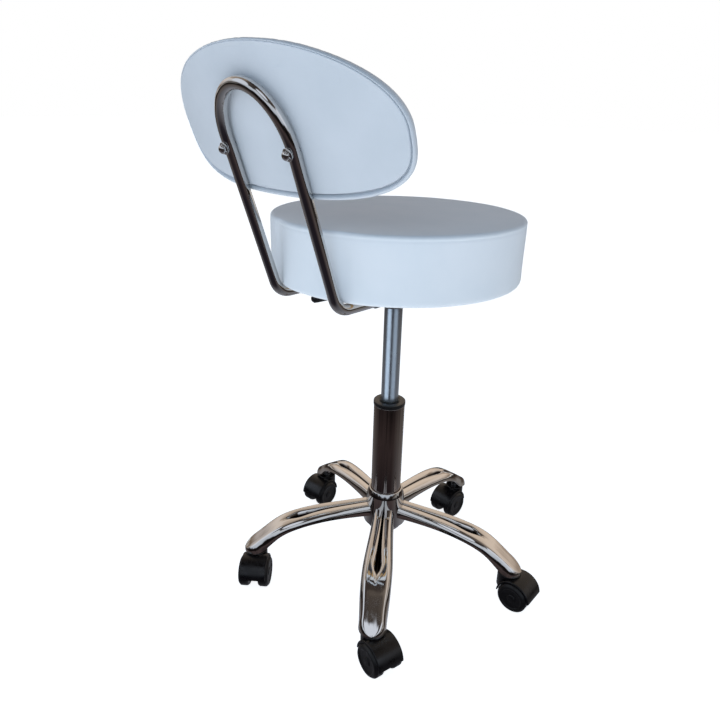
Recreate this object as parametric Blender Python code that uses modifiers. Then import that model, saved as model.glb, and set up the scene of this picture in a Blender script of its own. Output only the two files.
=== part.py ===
"""Rolling stylist stool: chromed five-leg base, gas lift, round seat and a low curved backrest.

Metres, +Z up.  The sitter faces -Y.  The origin is on the floor, under the middle of the stool's
bounding box, so the gas lift's axis stands a little away from it.
"""
import bpy
import bmesh
from math import cos, pi, radians, sin, sqrt
from mathutils import Matrix, Vector

# ---------------------------------------------------------------- driving dimensions
COLUMN_AT = (0.0106, -0.0180)   # lift axis, from the middle of the bounding box
GAP = 0.0003                    # kept between two pieces that touch
CUT_PAST = 0.01                 # how far a cutter reaches past the face that it cuts through

LEG_COUNT = 5
FIRST_LEG_AT = 128.0            # degrees from +X
CASTOR_AT_RADIUS = 0.221
LEG_SHEET = 0.002

SOCKET_RADIUS = 0.0080          # boss under a leg's end, round the castor's stem
SOCKET_FOOT = 0.0590

HUB_TOP = 0.1545
HUB_BOTTOM = 0.092              # lower edge of the outer cone
HUB_SLEEVE_FOOT = 0.082         # lower edge of the sleeve inside it

COLUMN_RADIUS = 0.025
COLUMN_WALL = 0.0013
COLUMN_PLATE = 0.003            # thickness of its bottom plate
COLUMN_BOTTOM = 0.078
COLUMN_TOP = 0.3105
COLLAR_TOP = 0.3175
COLLAR_FOOT = 0.270
COLLAR_LIP = 0.0008             # how far the guide stands out past the column
ROD_RADIUS = 0.005
ROD_TOP = 0.300
ROD_BELOW_COLUMN = 0.006
RACE_RADIUS = 0.014
RACE_HEIGHT = 0.005
CLIP_RADIUS = 0.010
CLIP_HEIGHT = 0.0015
LIFT_TUBE_RADIUS = 0.014
LIFT_TUBE_BORE = 0.0122
LIFT_TUBE_BOTTOM = 0.275
LIFT_TUBE_TOP = 0.500
LIFT_TAPER_AT = 0.470           # the tube's end tapers from here into the seat's socket
LIFT_BORE_TOP = 0.465
LIFT_BORE_FLOOR = 0.010         # thickness of the tube's lower end
BUTTON_RADIUS = 0.0038
BUTTON_HEIGHT = 0.0035

SEAT_RADIUS = 0.1805
SEAT_UNDERSIDE = 0.5245
SEAT_TOP = 0.617
SEAT_EDGE = 0.010               # rounding of the top edge
SEAT_CROWN = 0.0015             # rise from that edge to the flat middle
SEAT_FLAT_RADIUS = 0.130
SEAT_HEM_ABOVE = 0.002          # the cover's lower edge, above the board's underside
SEAT_HEM_ROLL = 0.009
SEAT_BOARD_RADIUS = 0.166
SEAT_BOARD_THICKNESS = 0.012

PLATE_SIZE = (0.096, 0.156, 0.0025)
HOUSING_SIZE = (0.056, 0.090, 0.030)
HOUSING_WALL = 0.0025
LIFT_SOCKET_RADIUS = 0.019
LIFT_SOCKET_BOTTOM = 0.476
SCREW_RADIUS = 0.003
SCREW_INSET = 0.010
SCREW_DEPTH = 0.009             # into the seat board

LEVER_AT = 75.3                 # degrees from +X, seen from above
LEVER_LENGTH = 0.137
LEVER_RADIUS = 0.004
LEVER_PIVOT = 0.022             # along the lever, from the lift's axis
LEVER_PAST_AXIS = 0.006         # how far its inner end reaches past the lift's axis
LEVER_IN_GRIP = 0.004           # how far short of the grip's end the rod stops
GRIP_LENGTH = 0.050
LEVER_INNER_HEIGHT = 0.5110
LEVER_OUTER_HEIGHT = 0.5045

BAR_RADIUS = 0.0075             # hairpin tube of the backrest
BAR_WALL = 0.0015
BAR_SPACING = 0.116
BAR_FRONT_END = -0.112
BAR_BEND_START = 0.156
BAR_BEND_RADIUS = 0.026
BAR_LEAN = radians(19.2)        # of the straight stretch, from the vertical
LOOP_LEAN = radians(22.5)       # above the bolts
BAR_STRAIGHT = 0.185
LOOP_STRAIGHT = 0.004
LOOP_HEIGHT = 0.0685
BOLT_EASE = (0.012, 0.001)      # stretch below and above the bolts where the lean changes
STUD_RADIUS = 0.003
STUD_DEPTH = 0.007              # into the pad's board
STUD_IN_NUT = 0.0050            # past the bar's surface
NUT_STANDOFF = 0.0009           # clears the bar, which bends back a little above the bolts
SADDLE_WIDTH = 0.014
SADDLE_SHEET = 0.0015
SADDLE_TAB = 0.011
SADDLES_AT = (-0.096, 0.100)    # along the feet, from the lift's axis
PLUG_LENGTH = 0.012
PLUG_HEAD = 0.0035

PAD_WIDTH = 0.398
PAD_ABOVE = 0.099               # above and below the pad's widest line
PAD_BELOW = 0.0725
PAD_POWER_ABOVE = 1.92          # superellipse powers of the two halves of its outline
PAD_POWER_BELOW = 3.4
PAD_LEAN = BAR_LEAN
PAD_BEND_RADIUS = 0.63
PAD_THICKNESS = 0.028
PAD_UP_FROM_BOLTS = 0.0135
PAD_BOARD_INSET = 0.014
PAD_BOARD_THICKNESS = 0.009
PAD_SKIN = 0.0012               # cover between the tube and the pad's board
PAD_GAP = 0.0006                # between the bars and the pad's bent rear face

WHEEL_RADIUS = 0.025
WHEEL_INNER = 0.0078            # inner and outer face, from the castor's middle
WHEEL_OUTER = 0.0248
CASTOR_TRAIL = 0.0205
CASTOR_TURNS = (168.7, 183.7, 89.7, 94.7, 130.7)    # way each castor trails, degrees from +X
NECK_RADIUS = 0.0168
NECK_BOTTOM = 0.028
NECK_TOP = 0.055
AXLE_RADIUS = 0.003
AXLE_HALF_LENGTH = 0.0215
STEM_RADIUS = 0.0052
STEM_FLANGE = 0.0075
STEM_TOP = 0.0680
STEM_BOTTOM = 0.040
HOOD_RADIUS = 0.0290
HOOD_HALF_WIDTH = 0.0215
HOOD_EDGE = 0.0235              # height of the hood's straight rear edge
SKIRT_SIZE = (0.10, 0.03, 0.04)     # what is cut away below that edge, on each side
SKIRT_FORWARD = 0.012
WELL_RADIUS = 0.0264            # of the hollow that a wheel turns in
WELL_OUTER = 0.030
WEB_HALF = 0.0068               # half thickness of the web between the wheels
WEB_FOOT = 0.0150               # lowest point of that web


# ---------------------------------------------------------------- scene, materials, building tools
for old in list(bpy.data.objects):
    bpy.data.objects.remove(old, do_unlink=True)

stool = bpy.data.collections.new("rolling_stylist_stool")
cutters = bpy.data.collections.new("cutters")
for collection in (stool, cutters):
    bpy.context.scene.collection.children.link(collection)


def material(name, red, green, blue, metallic, roughness):
    """A Principled material of one colour."""
    mat = bpy.data.materials.new(name)
    mat.use_nodes = True
    shader = mat.node_tree.nodes["Principled BSDF"]
    shader.inputs["Base Color"].default_value = (red, green, blue, 1.0)
    shader.inputs["Metallic"].default_value = metallic
    shader.inputs["Roughness"].default_value = roughness
    mat.diffuse_color = (red, green, blue, 1.0)
    return mat


def empty(name, parent, location=(0.0, 0.0, 0.0), turn=0.0):
    """An empty on a joint's axis, turned about Z by `turn` radians."""
    axis = bpy.data.objects.new(name, None)
    axis.empty_display_size = 0.03
    stool.objects.link(axis)
    axis.parent = parent
    axis.location = location
    axis.rotation_euler.z = turn
    return axis


def add_object(name, data, mat, parent, collection=stool):
    """Links new object data under its parent and gives it its material."""
    obj = bpy.data.objects.new(name, data)
    collection.objects.link(obj)
    obj.parent = parent
    if mat:
        data.materials.append(mat)
    return obj


def mesh_from(name, bm):
    """Turns a bmesh into a smooth-shaded mesh with sharp corners kept."""
    bmesh.ops.recalc_face_normals(bm, faces=bm.faces)
    mesh = bpy.data.meshes.new(name)
    bm.to_mesh(mesh)
    bm.free()
    mesh.shade_smooth()
    mesh.set_sharp_from_angle(angle=radians(35))
    return mesh


def turned(name, profile, mat, parent, steps=32, closed=True, collection=stool):
    """A profile of (radius, z) turned about Z; a closed one is a ring, an open one ends on the axis."""
    bm = bmesh.new()
    corners = [bm.verts.new((radius, 0.0, z)) for radius, z in profile]
    for first, second in zip(corners, corners[1:]):
        bm.edges.new((first, second))
    if closed:
        bm.edges.new((corners[-1], corners[0]))
    mesh = bpy.data.meshes.new(name)
    bm.to_mesh(mesh)
    bm.free()
    obj = add_object(name, mesh, mat, parent, collection)
    screw = obj.modifiers.new("turn", "SCREW")
    screw.steps = steps
    screw.render_steps = steps
    screw.use_merge_vertices = True
    screw.merge_threshold = 0.00001
    screw.use_smooth_shade = True
    return obj


def box(name, size, centre, mat, parent, bevel=0.0, collection=stool):
    """A box, with rounded edges if bevel is given."""
    bm = bmesh.new()
    bmesh.ops.create_cube(bm, size=1.0, matrix=Matrix.Translation(centre) @ Matrix.Diagonal((*size, 1.0)))
    if bevel:
        bmesh.ops.bevel(bm, geom=bm.edges[:], offset=bevel, segments=2, affect="EDGES", profile=0.5)
    return add_object(name, mesh_from(name, bm), mat, parent, collection)


def cylinder(name, radius, start, end, mat, parent, segments=24, collection=stool):
    """A round bar from one point to another."""
    start, end = Vector(start), Vector(end)
    along = end - start
    place = Matrix.Translation((start + end) / 2) @ along.to_track_quat("Z", "Y").to_matrix().to_4x4()
    bm = bmesh.new()
    bmesh.ops.create_cone(bm, cap_ends=True, segments=segments, radius1=radius, radius2=radius,
                          depth=along.length, matrix=place)
    return add_object(name, mesh_from(name, bm), mat, parent, collection)


def loft(name, rings, mat, parent, closed_rings=True, capped=True, collection=stool):
    """A skin over rings of equal point count, with its first and last ring filled in."""
    bm = bmesh.new()
    loops = [[bm.verts.new(point) for point in ring] for ring in rings]
    count = len(rings[0])
    spans = count if closed_rings else count - 1
    for lower, upper in zip(loops, loops[1:]):
        for i in range(spans):
            j = (i + 1) % count
            bm.faces.new((lower[i], lower[j], upper[j], upper[i]))
    if capped:
        bm.faces.new(loops[0])
        bm.faces.new(loops[-1])
    return add_object(name, mesh_from(name, bm), mat, parent, collection)


def tube(name, points, radius, mat, parent, resolution=2, collection=stool):
    """A round rod along points, as a mesh with welded caps."""
    curve = bpy.data.curves.new(name, "CURVE")
    curve.dimensions = "3D"
    curve.bevel_depth = radius
    curve.bevel_resolution = resolution
    curve.use_fill_caps = True
    spline = curve.splines.new("POLY")
    spline.points.add(len(points) - 1)
    for knot, point in zip(spline.points, points):
        knot.co = (*point, 1.0)
    guide = add_object(name + "_path", curve, None, parent, collection)
    bpy.context.view_layer.update()
    mesh = bpy.data.meshes.new_from_object(guide.evaluated_get(bpy.context.evaluated_depsgraph_get()))
    bpy.data.objects.remove(guide, do_unlink=True)
    bm = bmesh.new()
    bm.from_mesh(mesh)
    bmesh.ops.remove_doubles(bm, verts=bm.verts, dist=0.00001)
    return add_object(name, mesh_from(name, bm), mat, parent, collection)


def combine(obj, tool, operation):
    """Cuts with or joins a second piece, which is then left out of the model."""
    modifier = obj.modifiers.new(operation.lower(), "BOOLEAN")
    modifier.operation = operation
    modifier.solver = "EXACT"
    modifier.object = tool
    tool.hide_render = True
    tool.display_type = "WIRE"


def smooth(points, x):
    """Height at x on a smooth curve through hand-set points (monotone between its own slopes)."""
    slopes = []
    for i in range(len(points)):
        before = points[max(i - 1, 0)]
        after = points[min(i + 1, len(points) - 1)]
        slopes.append((after[1] - before[1]) / (after[0] - before[0]))
    for (x0, y0), (x1, y1), m0, m1 in zip(points, points[1:], slopes, slopes[1:]):
        if x <= x1:
            t = max(0.0, (x - x0) / (x1 - x0))
            span = x1 - x0
            return ((2 * t**3 - 3 * t**2 + 1) * y0 + (t**3 - 2 * t**2 + t) * span * m0
                    + (3 * t**2 - 2 * t**3) * y1 + (t**3 - t**2) * span * m1)
    return points[-1][1]


chrome = material("chrome", 0.62, 0.60, 0.58, 1.0, 0.08)
dark_chrome = material("dark_chrome", 0.22, 0.20, 0.19, 1.0, 0.12)
bright_steel = material("bright_steel", 0.60, 0.66, 0.72, 1.0, 0.15)
zinc = material("zinc_plate", 0.55, 0.56, 0.58, 1.0, 0.35)
black_plastic = material("black_plastic", 0.01, 0.01, 0.012, 0.0, 0.30)
castor_plastic = material("castor_plastic", 0.008, 0.008, 0.010, 0.0, 0.25)
tread_plastic = material("tread_plastic", 0.012, 0.012, 0.014, 0.0, 0.40)
plywood = material("plywood", 0.50, 0.34, 0.19, 0.0, 0.70)
white_leather = material("white_leather", 0.60, 0.67, 0.75, 0.0, 0.45)
white_back_leather = material("white_back_leather", 0.52, 0.60, 0.70, 0.0, 0.45)

base = empty("stool_origin", None, (*COLUMN_AT, 0.0))
spindle = empty("swivel_axis", base)
seat = empty("lift_axis", spindle)


# ---------------------------------------------------------------- base: hub, legs, castor sockets
HUB_PROFILE = (
    (0.0256, HUB_TOP), (0.0280, HUB_TOP), (0.0312, 0.1450), (0.0365, HUB_BOTTOM),
    (0.0340, HUB_BOTTOM), (0.0292, 0.1380), (0.0285, HUB_SLEEVE_FOOT), (0.0256, HUB_SLEEVE_FOOT),
)

# height of a leg's crown, half width and depth of its rolled sides, along the leg
LEG_CROWN = ((0.030, 0.1275), (0.070, 0.1250), (0.110, 0.1215), (0.150, 0.1150), (0.175, 0.1075),
             (0.195, 0.0965), (0.215, 0.0820), (0.230, 0.0705), (0.2415, 0.0605))
LEG_HALF_WIDTH = ((0.030, 0.0182), (0.070, 0.0192), (0.110, 0.0212), (0.150, 0.0232),
                  (0.185, 0.0228), (0.215, 0.0205))
LEG_DEPTH = ((0.030, 0.0180), (0.085, 0.0140), (0.120, 0.0125), (0.150, 0.0125),
             (0.185, 0.0150), (0.215, 0.0210), (0.2415, 0.0050))
LEG_GROOVE = ((0.030, 0.0020), (0.080, 0.0032), (0.140, 0.0046), (0.175, 0.0020), (0.200, 0.0))
LEG_STATIONS = (0.027, 0.060, 0.095, 0.125, 0.150, 0.170, 0.188, 0.205, 0.221, 0.231, 0.237, 0.240)
LEG_NOSE_RADIUS = 0.0205
LEG_FOOT = 0.0535               # lowest edge of a leg, round its castor


def leg_half_width(radius):
    """Half width of a leg, which ends in a round nose about the castor."""
    straight = smooth(LEG_HALF_WIDTH, min(radius, CASTOR_AT_RADIUS))
    past = (radius - CASTOR_AT_RADIUS) / LEG_NOSE_RADIUS
    return straight * sqrt(1.0 - past * past) if past > 0.0 else straight


def leg_section(radius):
    """One section across a leg: two raised lobes with a groove between them, and turned-down sides."""
    half = leg_half_width(radius)
    crown = smooth(LEG_CROWN, radius)
    foot = max(LEG_FOOT, crown - smooth(LEG_DEPTH, radius))
    groove = smooth(LEG_GROOVE, radius)
    drop = crown - foot
    outline = ((1.0, foot), (0.98, crown - 0.40 * drop), (0.86, crown - 0.12 * drop),
               (0.50, crown), (0.18, crown - 0.6 * groove))
    side = [(radius, share * half, z) for share, z in outline]
    mirrored = [(x, -y, z) for x, y, z in reversed(side)]
    return side + [(radius, 0.0, crown - groove)] + mirrored


def base_hub():
    return turned("base_hub", HUB_PROFILE, chrome, base, steps=30)


def base_leg(number, axis):
    """A pressed leg of folded sheet, open below, with a castor socket under its end."""
    name = f"base_leg_{number}"
    leg = loft(name, [leg_section(radius) for radius in LEG_STATIONS], chrome, axis,
               closed_rings=False, capped=False)
    bm = bmesh.new()
    bm.from_mesh(leg.data)
    nose = [v for v in bm.verts if abs(v.co.x - LEG_STATIONS[-1]) < 1e-6]
    bm.faces.new(sorted(nose, key=lambda v: -v.co.y))
    bmesh.ops.recalc_face_normals(bm, faces=bm.faces)
    upward = max(bm.faces, key=lambda face: face.calc_center_median().z)
    if upward.normal.z < 0.0:
        bmesh.ops.reverse_faces(bm, faces=bm.faces)
    bm.to_mesh(leg.data)
    bm.free()
    leg.data.shade_smooth()
    sheet = leg.modifiers.new("sheet", "SOLIDIFY")
    sheet.thickness = LEG_SHEET
    sheet.offset = -1.0
    sheet.use_even_offset = True
    socket = castor_socket(number, axis)
    combine(leg, socket, "UNION")
    combine(leg, socket_bore(number, axis), "DIFFERENCE")
    combine(leg, hub_clearance(number, axis), "DIFFERENCE")
    return leg


def castor_socket(number, axis):
    """The boss that holds a castor's stem; its top follows the leg's own skin."""
    boss = cylinder(f"socket_{number}", SOCKET_RADIUS, (CASTOR_AT_RADIUS, 0, SOCKET_FOOT),
                    (CASTOR_AT_RADIUS, 0, SOCKET_FOOT + 0.02), None, axis, segments=20,
                    collection=cutters)
    for vertex in boss.data.vertices:
        if vertex.co.z > SOCKET_FOOT + 0.01:
            vertex.co.z = smooth(LEG_CROWN, vertex.co.x) - LEG_SHEET / 2
    return boss


def socket_bore(number, axis):
    return cylinder(f"socket_bore_{number}", STEM_RADIUS + GAP, (CASTOR_AT_RADIUS, 0, 0.050),
                    (CASTOR_AT_RADIUS, 0, STEM_TOP + GAP), None, axis, segments=16, collection=cutters)


def hub_clearance(number, axis):
    """The hub's outer cone, a gap larger, so that each leg's root follows it."""
    cone = bmesh.new()
    top, bottom = HUB_PROFILE[2], HUB_PROFILE[3]
    slope = (bottom[0] - top[0]) / (top[1] - bottom[1])
    reach = 0.01
    middle = (top[1] + bottom[1]) / 2
    bmesh.ops.create_cone(cone, cap_ends=True, segments=30,
                          radius1=bottom[0] + GAP + slope * reach, radius2=top[0] + GAP - slope * reach,
                          depth=top[1] - bottom[1] + 2 * reach,
                          matrix=Matrix.Translation((0.0, 0.0, middle)))
    return add_object(f"hub_clearance_{number}", mesh_from("hub_clearance", cone), None, axis, cutters)


# ---------------------------------------------------------------- castors
def castor_stem(number, axis):
    """Steel stem pressed into the leg: its flange rests between the socket and the castor's neck."""
    flange_low = NECK_TOP + GAP
    flange_high = SOCKET_FOOT - GAP
    profile = ((0.0, STEM_TOP), (STEM_RADIUS - 0.001, STEM_TOP), (STEM_RADIUS, STEM_TOP - 0.0015),
               (STEM_RADIUS, flange_high), (STEM_FLANGE, flange_high), (STEM_FLANGE, flange_low),
               (STEM_RADIUS, flange_low), (STEM_RADIUS, STEM_BOTTOM), (0.0, STEM_BOTTOM))
    return turned(f"castor_{number}_stem", profile, zinc, axis, steps=12, closed=False)


def castor_hood(number, axis):
    """Moulded hood: a round neck on the stem, a fender over both wheels and a web between them."""
    name = f"castor_{number}_hood"
    axle = (CASTOR_TRAIL, 0.0, WHEEL_RADIUS)
    hood = cylinder(name, HOOD_RADIUS, (axle[0], -HOOD_HALF_WIDTH, axle[2]),
                    (axle[0], HOOD_HALF_WIDTH, axle[2]), castor_plastic, axis, segments=28)
    neck = cylinder(f"neck_{number}", NECK_RADIUS, (0, 0, NECK_BOTTOM), (0, 0, NECK_TOP), None, axis,
                    segments=20, collection=cutters)
    combine(hood, neck, "UNION")
    for side in (-1, 1):
        well = cylinder(f"well_{number}_{side}", WELL_RADIUS, (axle[0], side * WEB_HALF, axle[2]),
                        (axle[0], side * WELL_OUTER, axle[2]), None, axis, segments=28, collection=cutters)
        combine(hood, well, "DIFFERENCE")
        length, width, height = SKIRT_SIZE
        skirt = box(f"skirt_{number}_{side}", SKIRT_SIZE,
                    (axle[0] + SKIRT_FORWARD, side * (WEB_HALF + width / 2), HOOD_EDGE - height / 2), None,
                    axis, collection=cutters)
        combine(hood, skirt, "DIFFERENCE")
    foot = box(f"web_cut_{number}", (0.10, 0.06, 0.03), (axle[0], 0.0, WEB_FOOT - 0.03 / 2), None, axis,
               collection=cutters)
    combine(hood, foot, "DIFFERENCE")
    stem_bore = cylinder(f"stem_bore_{number}", STEM_RADIUS + GAP, (0, 0, STEM_BOTTOM - GAP),
                         (0, 0, NECK_TOP + CUT_PAST), None, axis, segments=16, collection=cutters)
    combine(hood, stem_bore, "DIFFERENCE")
    axle_bore = cylinder(f"axle_bore_{number}", AXLE_RADIUS + GAP, (axle[0], -WELL_OUTER, axle[2]),
                         (axle[0], WELL_OUTER, axle[2]), None, axis, segments=16, collection=cutters)
    combine(hood, axle_bore, "DIFFERENCE")
    return hood


def castor_wheel(number, side_name, side, axis):
    """One of a castor's two wheels, with a blind bore for the axle on its inner side."""
    half = (WHEEL_OUTER - WHEEL_INNER) / 2
    rim = WHEEL_RADIUS
    bore = AXLE_RADIUS + GAP
    profile = ((0.0, half), (rim - 0.0035, half), (rim, half - 0.0035), (rim, 0.0030 - half),
               (rim - 0.0020, -half), (bore, -half), (bore, half - 0.0028), (0.0, half - 0.0028))
    wheel = turned(f"castor_{number}_wheel_{side_name}", profile, tread_plastic, axis, steps=20,
                   closed=False)
    wheel.location = (CASTOR_TRAIL, side * (WHEEL_INNER + half), WHEEL_RADIUS)
    wheel.rotation_euler.x = -side * pi / 2
    return wheel


def castor(number, leg_axis, turn):
    """A twin-wheel castor: its stem stays with the leg, the rest swivels about it."""
    swivel = empty(f"castor_{number}_axis", leg_axis, (CASTOR_AT_RADIUS, 0, 0), turn)
    castor_stem(number, swivel)
    castor_hood(number, swivel)
    cylinder(f"castor_{number}_axle", AXLE_RADIUS, (CASTOR_TRAIL, -AXLE_HALF_LENGTH, WHEEL_RADIUS),
             (CASTOR_TRAIL, AXLE_HALF_LENGTH, WHEEL_RADIUS), zinc, swivel, segments=14)
    castor_wheel(number, "a", 1, swivel)
    castor_wheel(number, "b", -1, swivel)


# ---------------------------------------------------------------- gas lift
def column_tube():
    """Outer tube of the lift, closed below by a plate that the piston rod hangs in."""
    inner = COLUMN_RADIUS - COLUMN_WALL
    floor = COLUMN_BOTTOM + COLUMN_PLATE
    profile = ((COLUMN_RADIUS - 0.0008, COLUMN_TOP), (COLUMN_RADIUS, COLUMN_TOP - 0.001),
               (COLUMN_RADIUS, 0.100), (COLUMN_RADIUS - 0.0006, COLUMN_BOTTOM),
               (ROD_RADIUS + GAP, COLUMN_BOTTOM), (ROD_RADIUS + GAP, floor), (inner, floor),
               (inner, COLUMN_TOP))
    return turned("column_tube", profile, dark_chrome, base, steps=28)


def column_collar():
    """Plastic guide in the column's mouth, which the lift tube slides through."""
    bore = LIFT_TUBE_RADIUS + GAP
    inside = COLUMN_RADIUS - COLUMN_WALL - GAP
    outside = COLUMN_RADIUS + COLLAR_LIP
    seat_at = COLUMN_TOP + GAP
    profile = ((COLUMN_RADIUS - 0.001, COLLAR_TOP), (outside, COLLAR_TOP - 0.0015), (outside, seat_at),
               (inside, seat_at), (inside, COLLAR_FOOT), (bore, COLLAR_FOOT), (bore, COLLAR_TOP - 0.002),
               (bore + 0.003, COLLAR_TOP))
    return turned("column_collar", profile, black_plastic, base, steps=24)


def piston_rod():
    foot = COLUMN_BOTTOM - ROD_BELOW_COLUMN
    profile = ((0.0, ROD_TOP), (ROD_RADIUS - 0.001, ROD_TOP), (ROD_RADIUS, ROD_TOP - 0.001),
               (ROD_RADIUS, foot), (0.0, foot))
    return turned("piston_rod", profile, bright_steel, spindle, steps=16, closed=False)


def thrust_race():
    """Bearing washer between the rod's load and the column's bottom plate."""
    low = COLUMN_BOTTOM + COLUMN_PLATE + GAP
    high = low + RACE_HEIGHT
    profile = ((RACE_RADIUS, high), (RACE_RADIUS, low), (ROD_RADIUS + GAP, low), (ROD_RADIUS + GAP, high))
    return turned("thrust_race", profile, zinc, spindle, steps=20)


def rod_clip():
    """Clip on the rod's foot, under the column."""
    high = COLUMN_BOTTOM - GAP
    low = high - CLIP_HEIGHT
    profile = ((CLIP_RADIUS, high), (CLIP_RADIUS, low), (ROD_RADIUS + GAP, low), (ROD_RADIUS + GAP, high))
    return turned("rod_clip", profile, zinc, spindle, steps=16)


def lift_tube():
    """Inner tube of the lift, hollow from below, which carries the seat."""
    floor = LIFT_TUBE_BOTTOM + LIFT_BORE_FLOOR
    profile = ((0.0, LIFT_TUBE_TOP), (0.0118, LIFT_TUBE_TOP), (0.0125, LIFT_TUBE_TOP - 0.001),
               (LIFT_TUBE_RADIUS, LIFT_TAPER_AT), (LIFT_TUBE_RADIUS, LIFT_TUBE_BOTTOM),
               (ROD_RADIUS + GAP, LIFT_TUBE_BOTTOM), (ROD_RADIUS + GAP, floor), (LIFT_TUBE_BORE, floor),
               (LIFT_TUBE_BORE, LIFT_BORE_TOP), (0.0, LIFT_BORE_TOP))
    return turned("lift_tube", profile, bright_steel, seat, steps=24, closed=False)


def release_button():
    low = LIFT_TUBE_TOP + GAP
    high = low + BUTTON_HEIGHT
    profile = ((0.0, high), (BUTTON_RADIUS - 0.0008, high), (BUTTON_RADIUS, high - 0.0008),
               (BUTTON_RADIUS, low), (0.0, low))
    return turned("release_button", profile, zinc, seat, steps=16, closed=False)


# ---------------------------------------------------------------- seat plate and height lever
def seat_plate():
    """Screwed-on plate with a pressed housing and the socket for the lift tube."""
    plate_top = SEAT_UNDERSIDE - GAP
    width, length, sheet = PLATE_SIZE
    plate = box("seat_plate", PLATE_SIZE, (0, 0, plate_top - sheet / 2), zinc, seat, bevel=0.0008)
    wide, long, deep = HOUSING_SIZE
    floor = plate_top - sheet - deep
    shell = box("housing", (wide, long, deep + sheet / 2), (0, 0, floor + (deep + sheet / 2) / 2), None,
                seat, collection=cutters)
    combine(plate, shell, "UNION")
    socket = cylinder("lift_socket", LIFT_SOCKET_RADIUS, (0, 0, LIFT_SOCKET_BOTTOM),
                      (0, 0, floor + 0.004), None, seat, segments=28, collection=cutters)
    combine(plate, socket, "UNION")
    hollow_deep = deep - HOUSING_WALL
    hollow = box("housing_hollow", (wide - 2 * HOUSING_WALL, long + 2 * CUT_PAST, hollow_deep),
                 (0, 0, floor + HOUSING_WALL + hollow_deep / 2), None, seat, collection=cutters)
    combine(plate, hollow, "DIFFERENCE")
    bore = cylinder("lift_bore", LIFT_TUBE_RADIUS + GAP, (0, 0, LIFT_SOCKET_BOTTOM - CUT_PAST),
                    (0, 0, floor + CUT_PAST), None, seat, segments=28, collection=cutters)
    combine(plate, bore, "DIFFERENCE")
    for i, (x, y) in enumerate(PLATE_SCREWS):
        hole = cylinder(f"plate_hole_{i}", SCREW_RADIUS + GAP, (x, y, plate_top - CUT_PAST),
                        (x, y, plate_top + CUT_PAST), None, seat, segments=12, collection=cutters)
        combine(plate, hole, "DIFFERENCE")
    return plate


PLATE_SCREWS = [(x * (PLATE_SIZE[0] / 2 - SCREW_INSET), y * (PLATE_SIZE[1] / 2 - SCREW_INSET))
                for x in (-1, 1) for y in (-1, 1)]


def plate_screw(number, x, y):
    """Round-headed screw up through the plate into the seat board."""
    head_top = SEAT_UNDERSIDE - GAP - PLATE_SIZE[2] - GAP
    profile = ((0.0, SEAT_UNDERSIDE + SCREW_DEPTH), (SCREW_RADIUS, SEAT_UNDERSIDE + SCREW_DEPTH),
               (SCREW_RADIUS, head_top), (0.0055, head_top), (0.0050, head_top - 0.0020),
               (0.0030, head_top - 0.0030), (0.0, head_top - 0.0030))
    screw = turned(f"plate_screw_{number}", profile, zinc, seat, steps=14, closed=False)
    screw.location = (x, y, 0)
    return screw


def lever_point(along):
    """A point on the lever's middle line, which falls slightly towards the grip."""
    share = along / LEVER_LENGTH
    height = LEVER_INNER_HEIGHT + (LEVER_OUTER_HEIGHT - LEVER_INNER_HEIGHT) * share
    turn = radians(LEVER_AT)
    return Vector((along * cos(turn), along * sin(turn), height))


def height_lever(axis):
    """Steel rod that presses the release button when its grip is lifted."""
    grip_start = LEVER_LENGTH - GRIP_LENGTH
    pivot = lever_point(LEVER_PIVOT)
    rod = cylinder("height_lever", LEVER_RADIUS, lever_point(-LEVER_PAST_AXIS) - pivot,
                   lever_point(LEVER_LENGTH - LEVER_IN_GRIP) - pivot, zinc, axis, segments=16)
    grip = turned("lever_grip", lever_grip_profile(GRIP_LENGTH), black_plastic, axis,
                  steps=14)
    way = lever_point(LEVER_LENGTH) - lever_point(grip_start)
    grip.location = lever_point(grip_start) - pivot
    grip.rotation_euler = way.to_track_quat("Z", "Y").to_euler()
    return rod


def lever_grip_profile(length):
    """Sleeve with a rounded end, hollow from its inner end so that the rod goes in."""
    bore = LEVER_RADIUS + GAP
    tip = length + 0.002
    return ((0.0005, tip), (0.0035, tip - 0.0004), (0.0058, tip - 0.0030), (0.0062, tip - 0.0080),
            (0.0056, 0.0), (bore, 0.0), (bore, length - 0.0035), (0.0005, length - 0.0035))


# ---------------------------------------------------------------- seat
def seat_board():
    top = SEAT_UNDERSIDE + SEAT_BOARD_THICKNESS
    profile = ((0.0, top), (SEAT_BOARD_RADIUS, top), (SEAT_BOARD_RADIUS, SEAT_UNDERSIDE),
               (0.0, SEAT_UNDERSIDE))
    board = turned("seat_board", profile, plywood, seat, steps=48, closed=False)
    for i, (x, y) in enumerate(PLATE_SCREWS):
        hole = cylinder(f"board_hole_{i}", SCREW_RADIUS + GAP, (x, y, SEAT_UNDERSIDE - CUT_PAST),
                        (x, y, SEAT_UNDERSIDE + SCREW_DEPTH + GAP), None, seat, segments=12,
                        collection=cutters)
        combine(board, hole, "DIFFERENCE")
    return board


def seat_cushion():
    """Foam and cover, drawn down round the edge of the seat board."""
    recess = SEAT_UNDERSIDE + SEAT_BOARD_THICKNESS + GAP
    wall = SEAT_BOARD_RADIUS + GAP
    hem = SEAT_UNDERSIDE + SEAT_HEM_ABOVE
    rim = SEAT_TOP - SEAT_CROWN
    middle = SEAT_RADIUS - SEAT_EDGE
    profile = [(0.0, SEAT_TOP), (SEAT_FLAT_RADIUS, SEAT_TOP)]
    for i in range(4):
        turn = i * pi / 6
        profile.append((middle + SEAT_EDGE * sin(turn), rim - SEAT_EDGE + SEAT_EDGE * cos(turn)))
    third = SEAT_HEM_ROLL / 3
    profile += [(SEAT_RADIUS, hem + SEAT_HEM_ROLL), (SEAT_RADIUS - third, hem + third),
                (SEAT_RADIUS - SEAT_HEM_ROLL, hem), (wall, hem), (wall, recess), (0.0, recess)]
    return turned("seat_cushion", profile, white_leather, seat, steps=48, closed=False)


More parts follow.
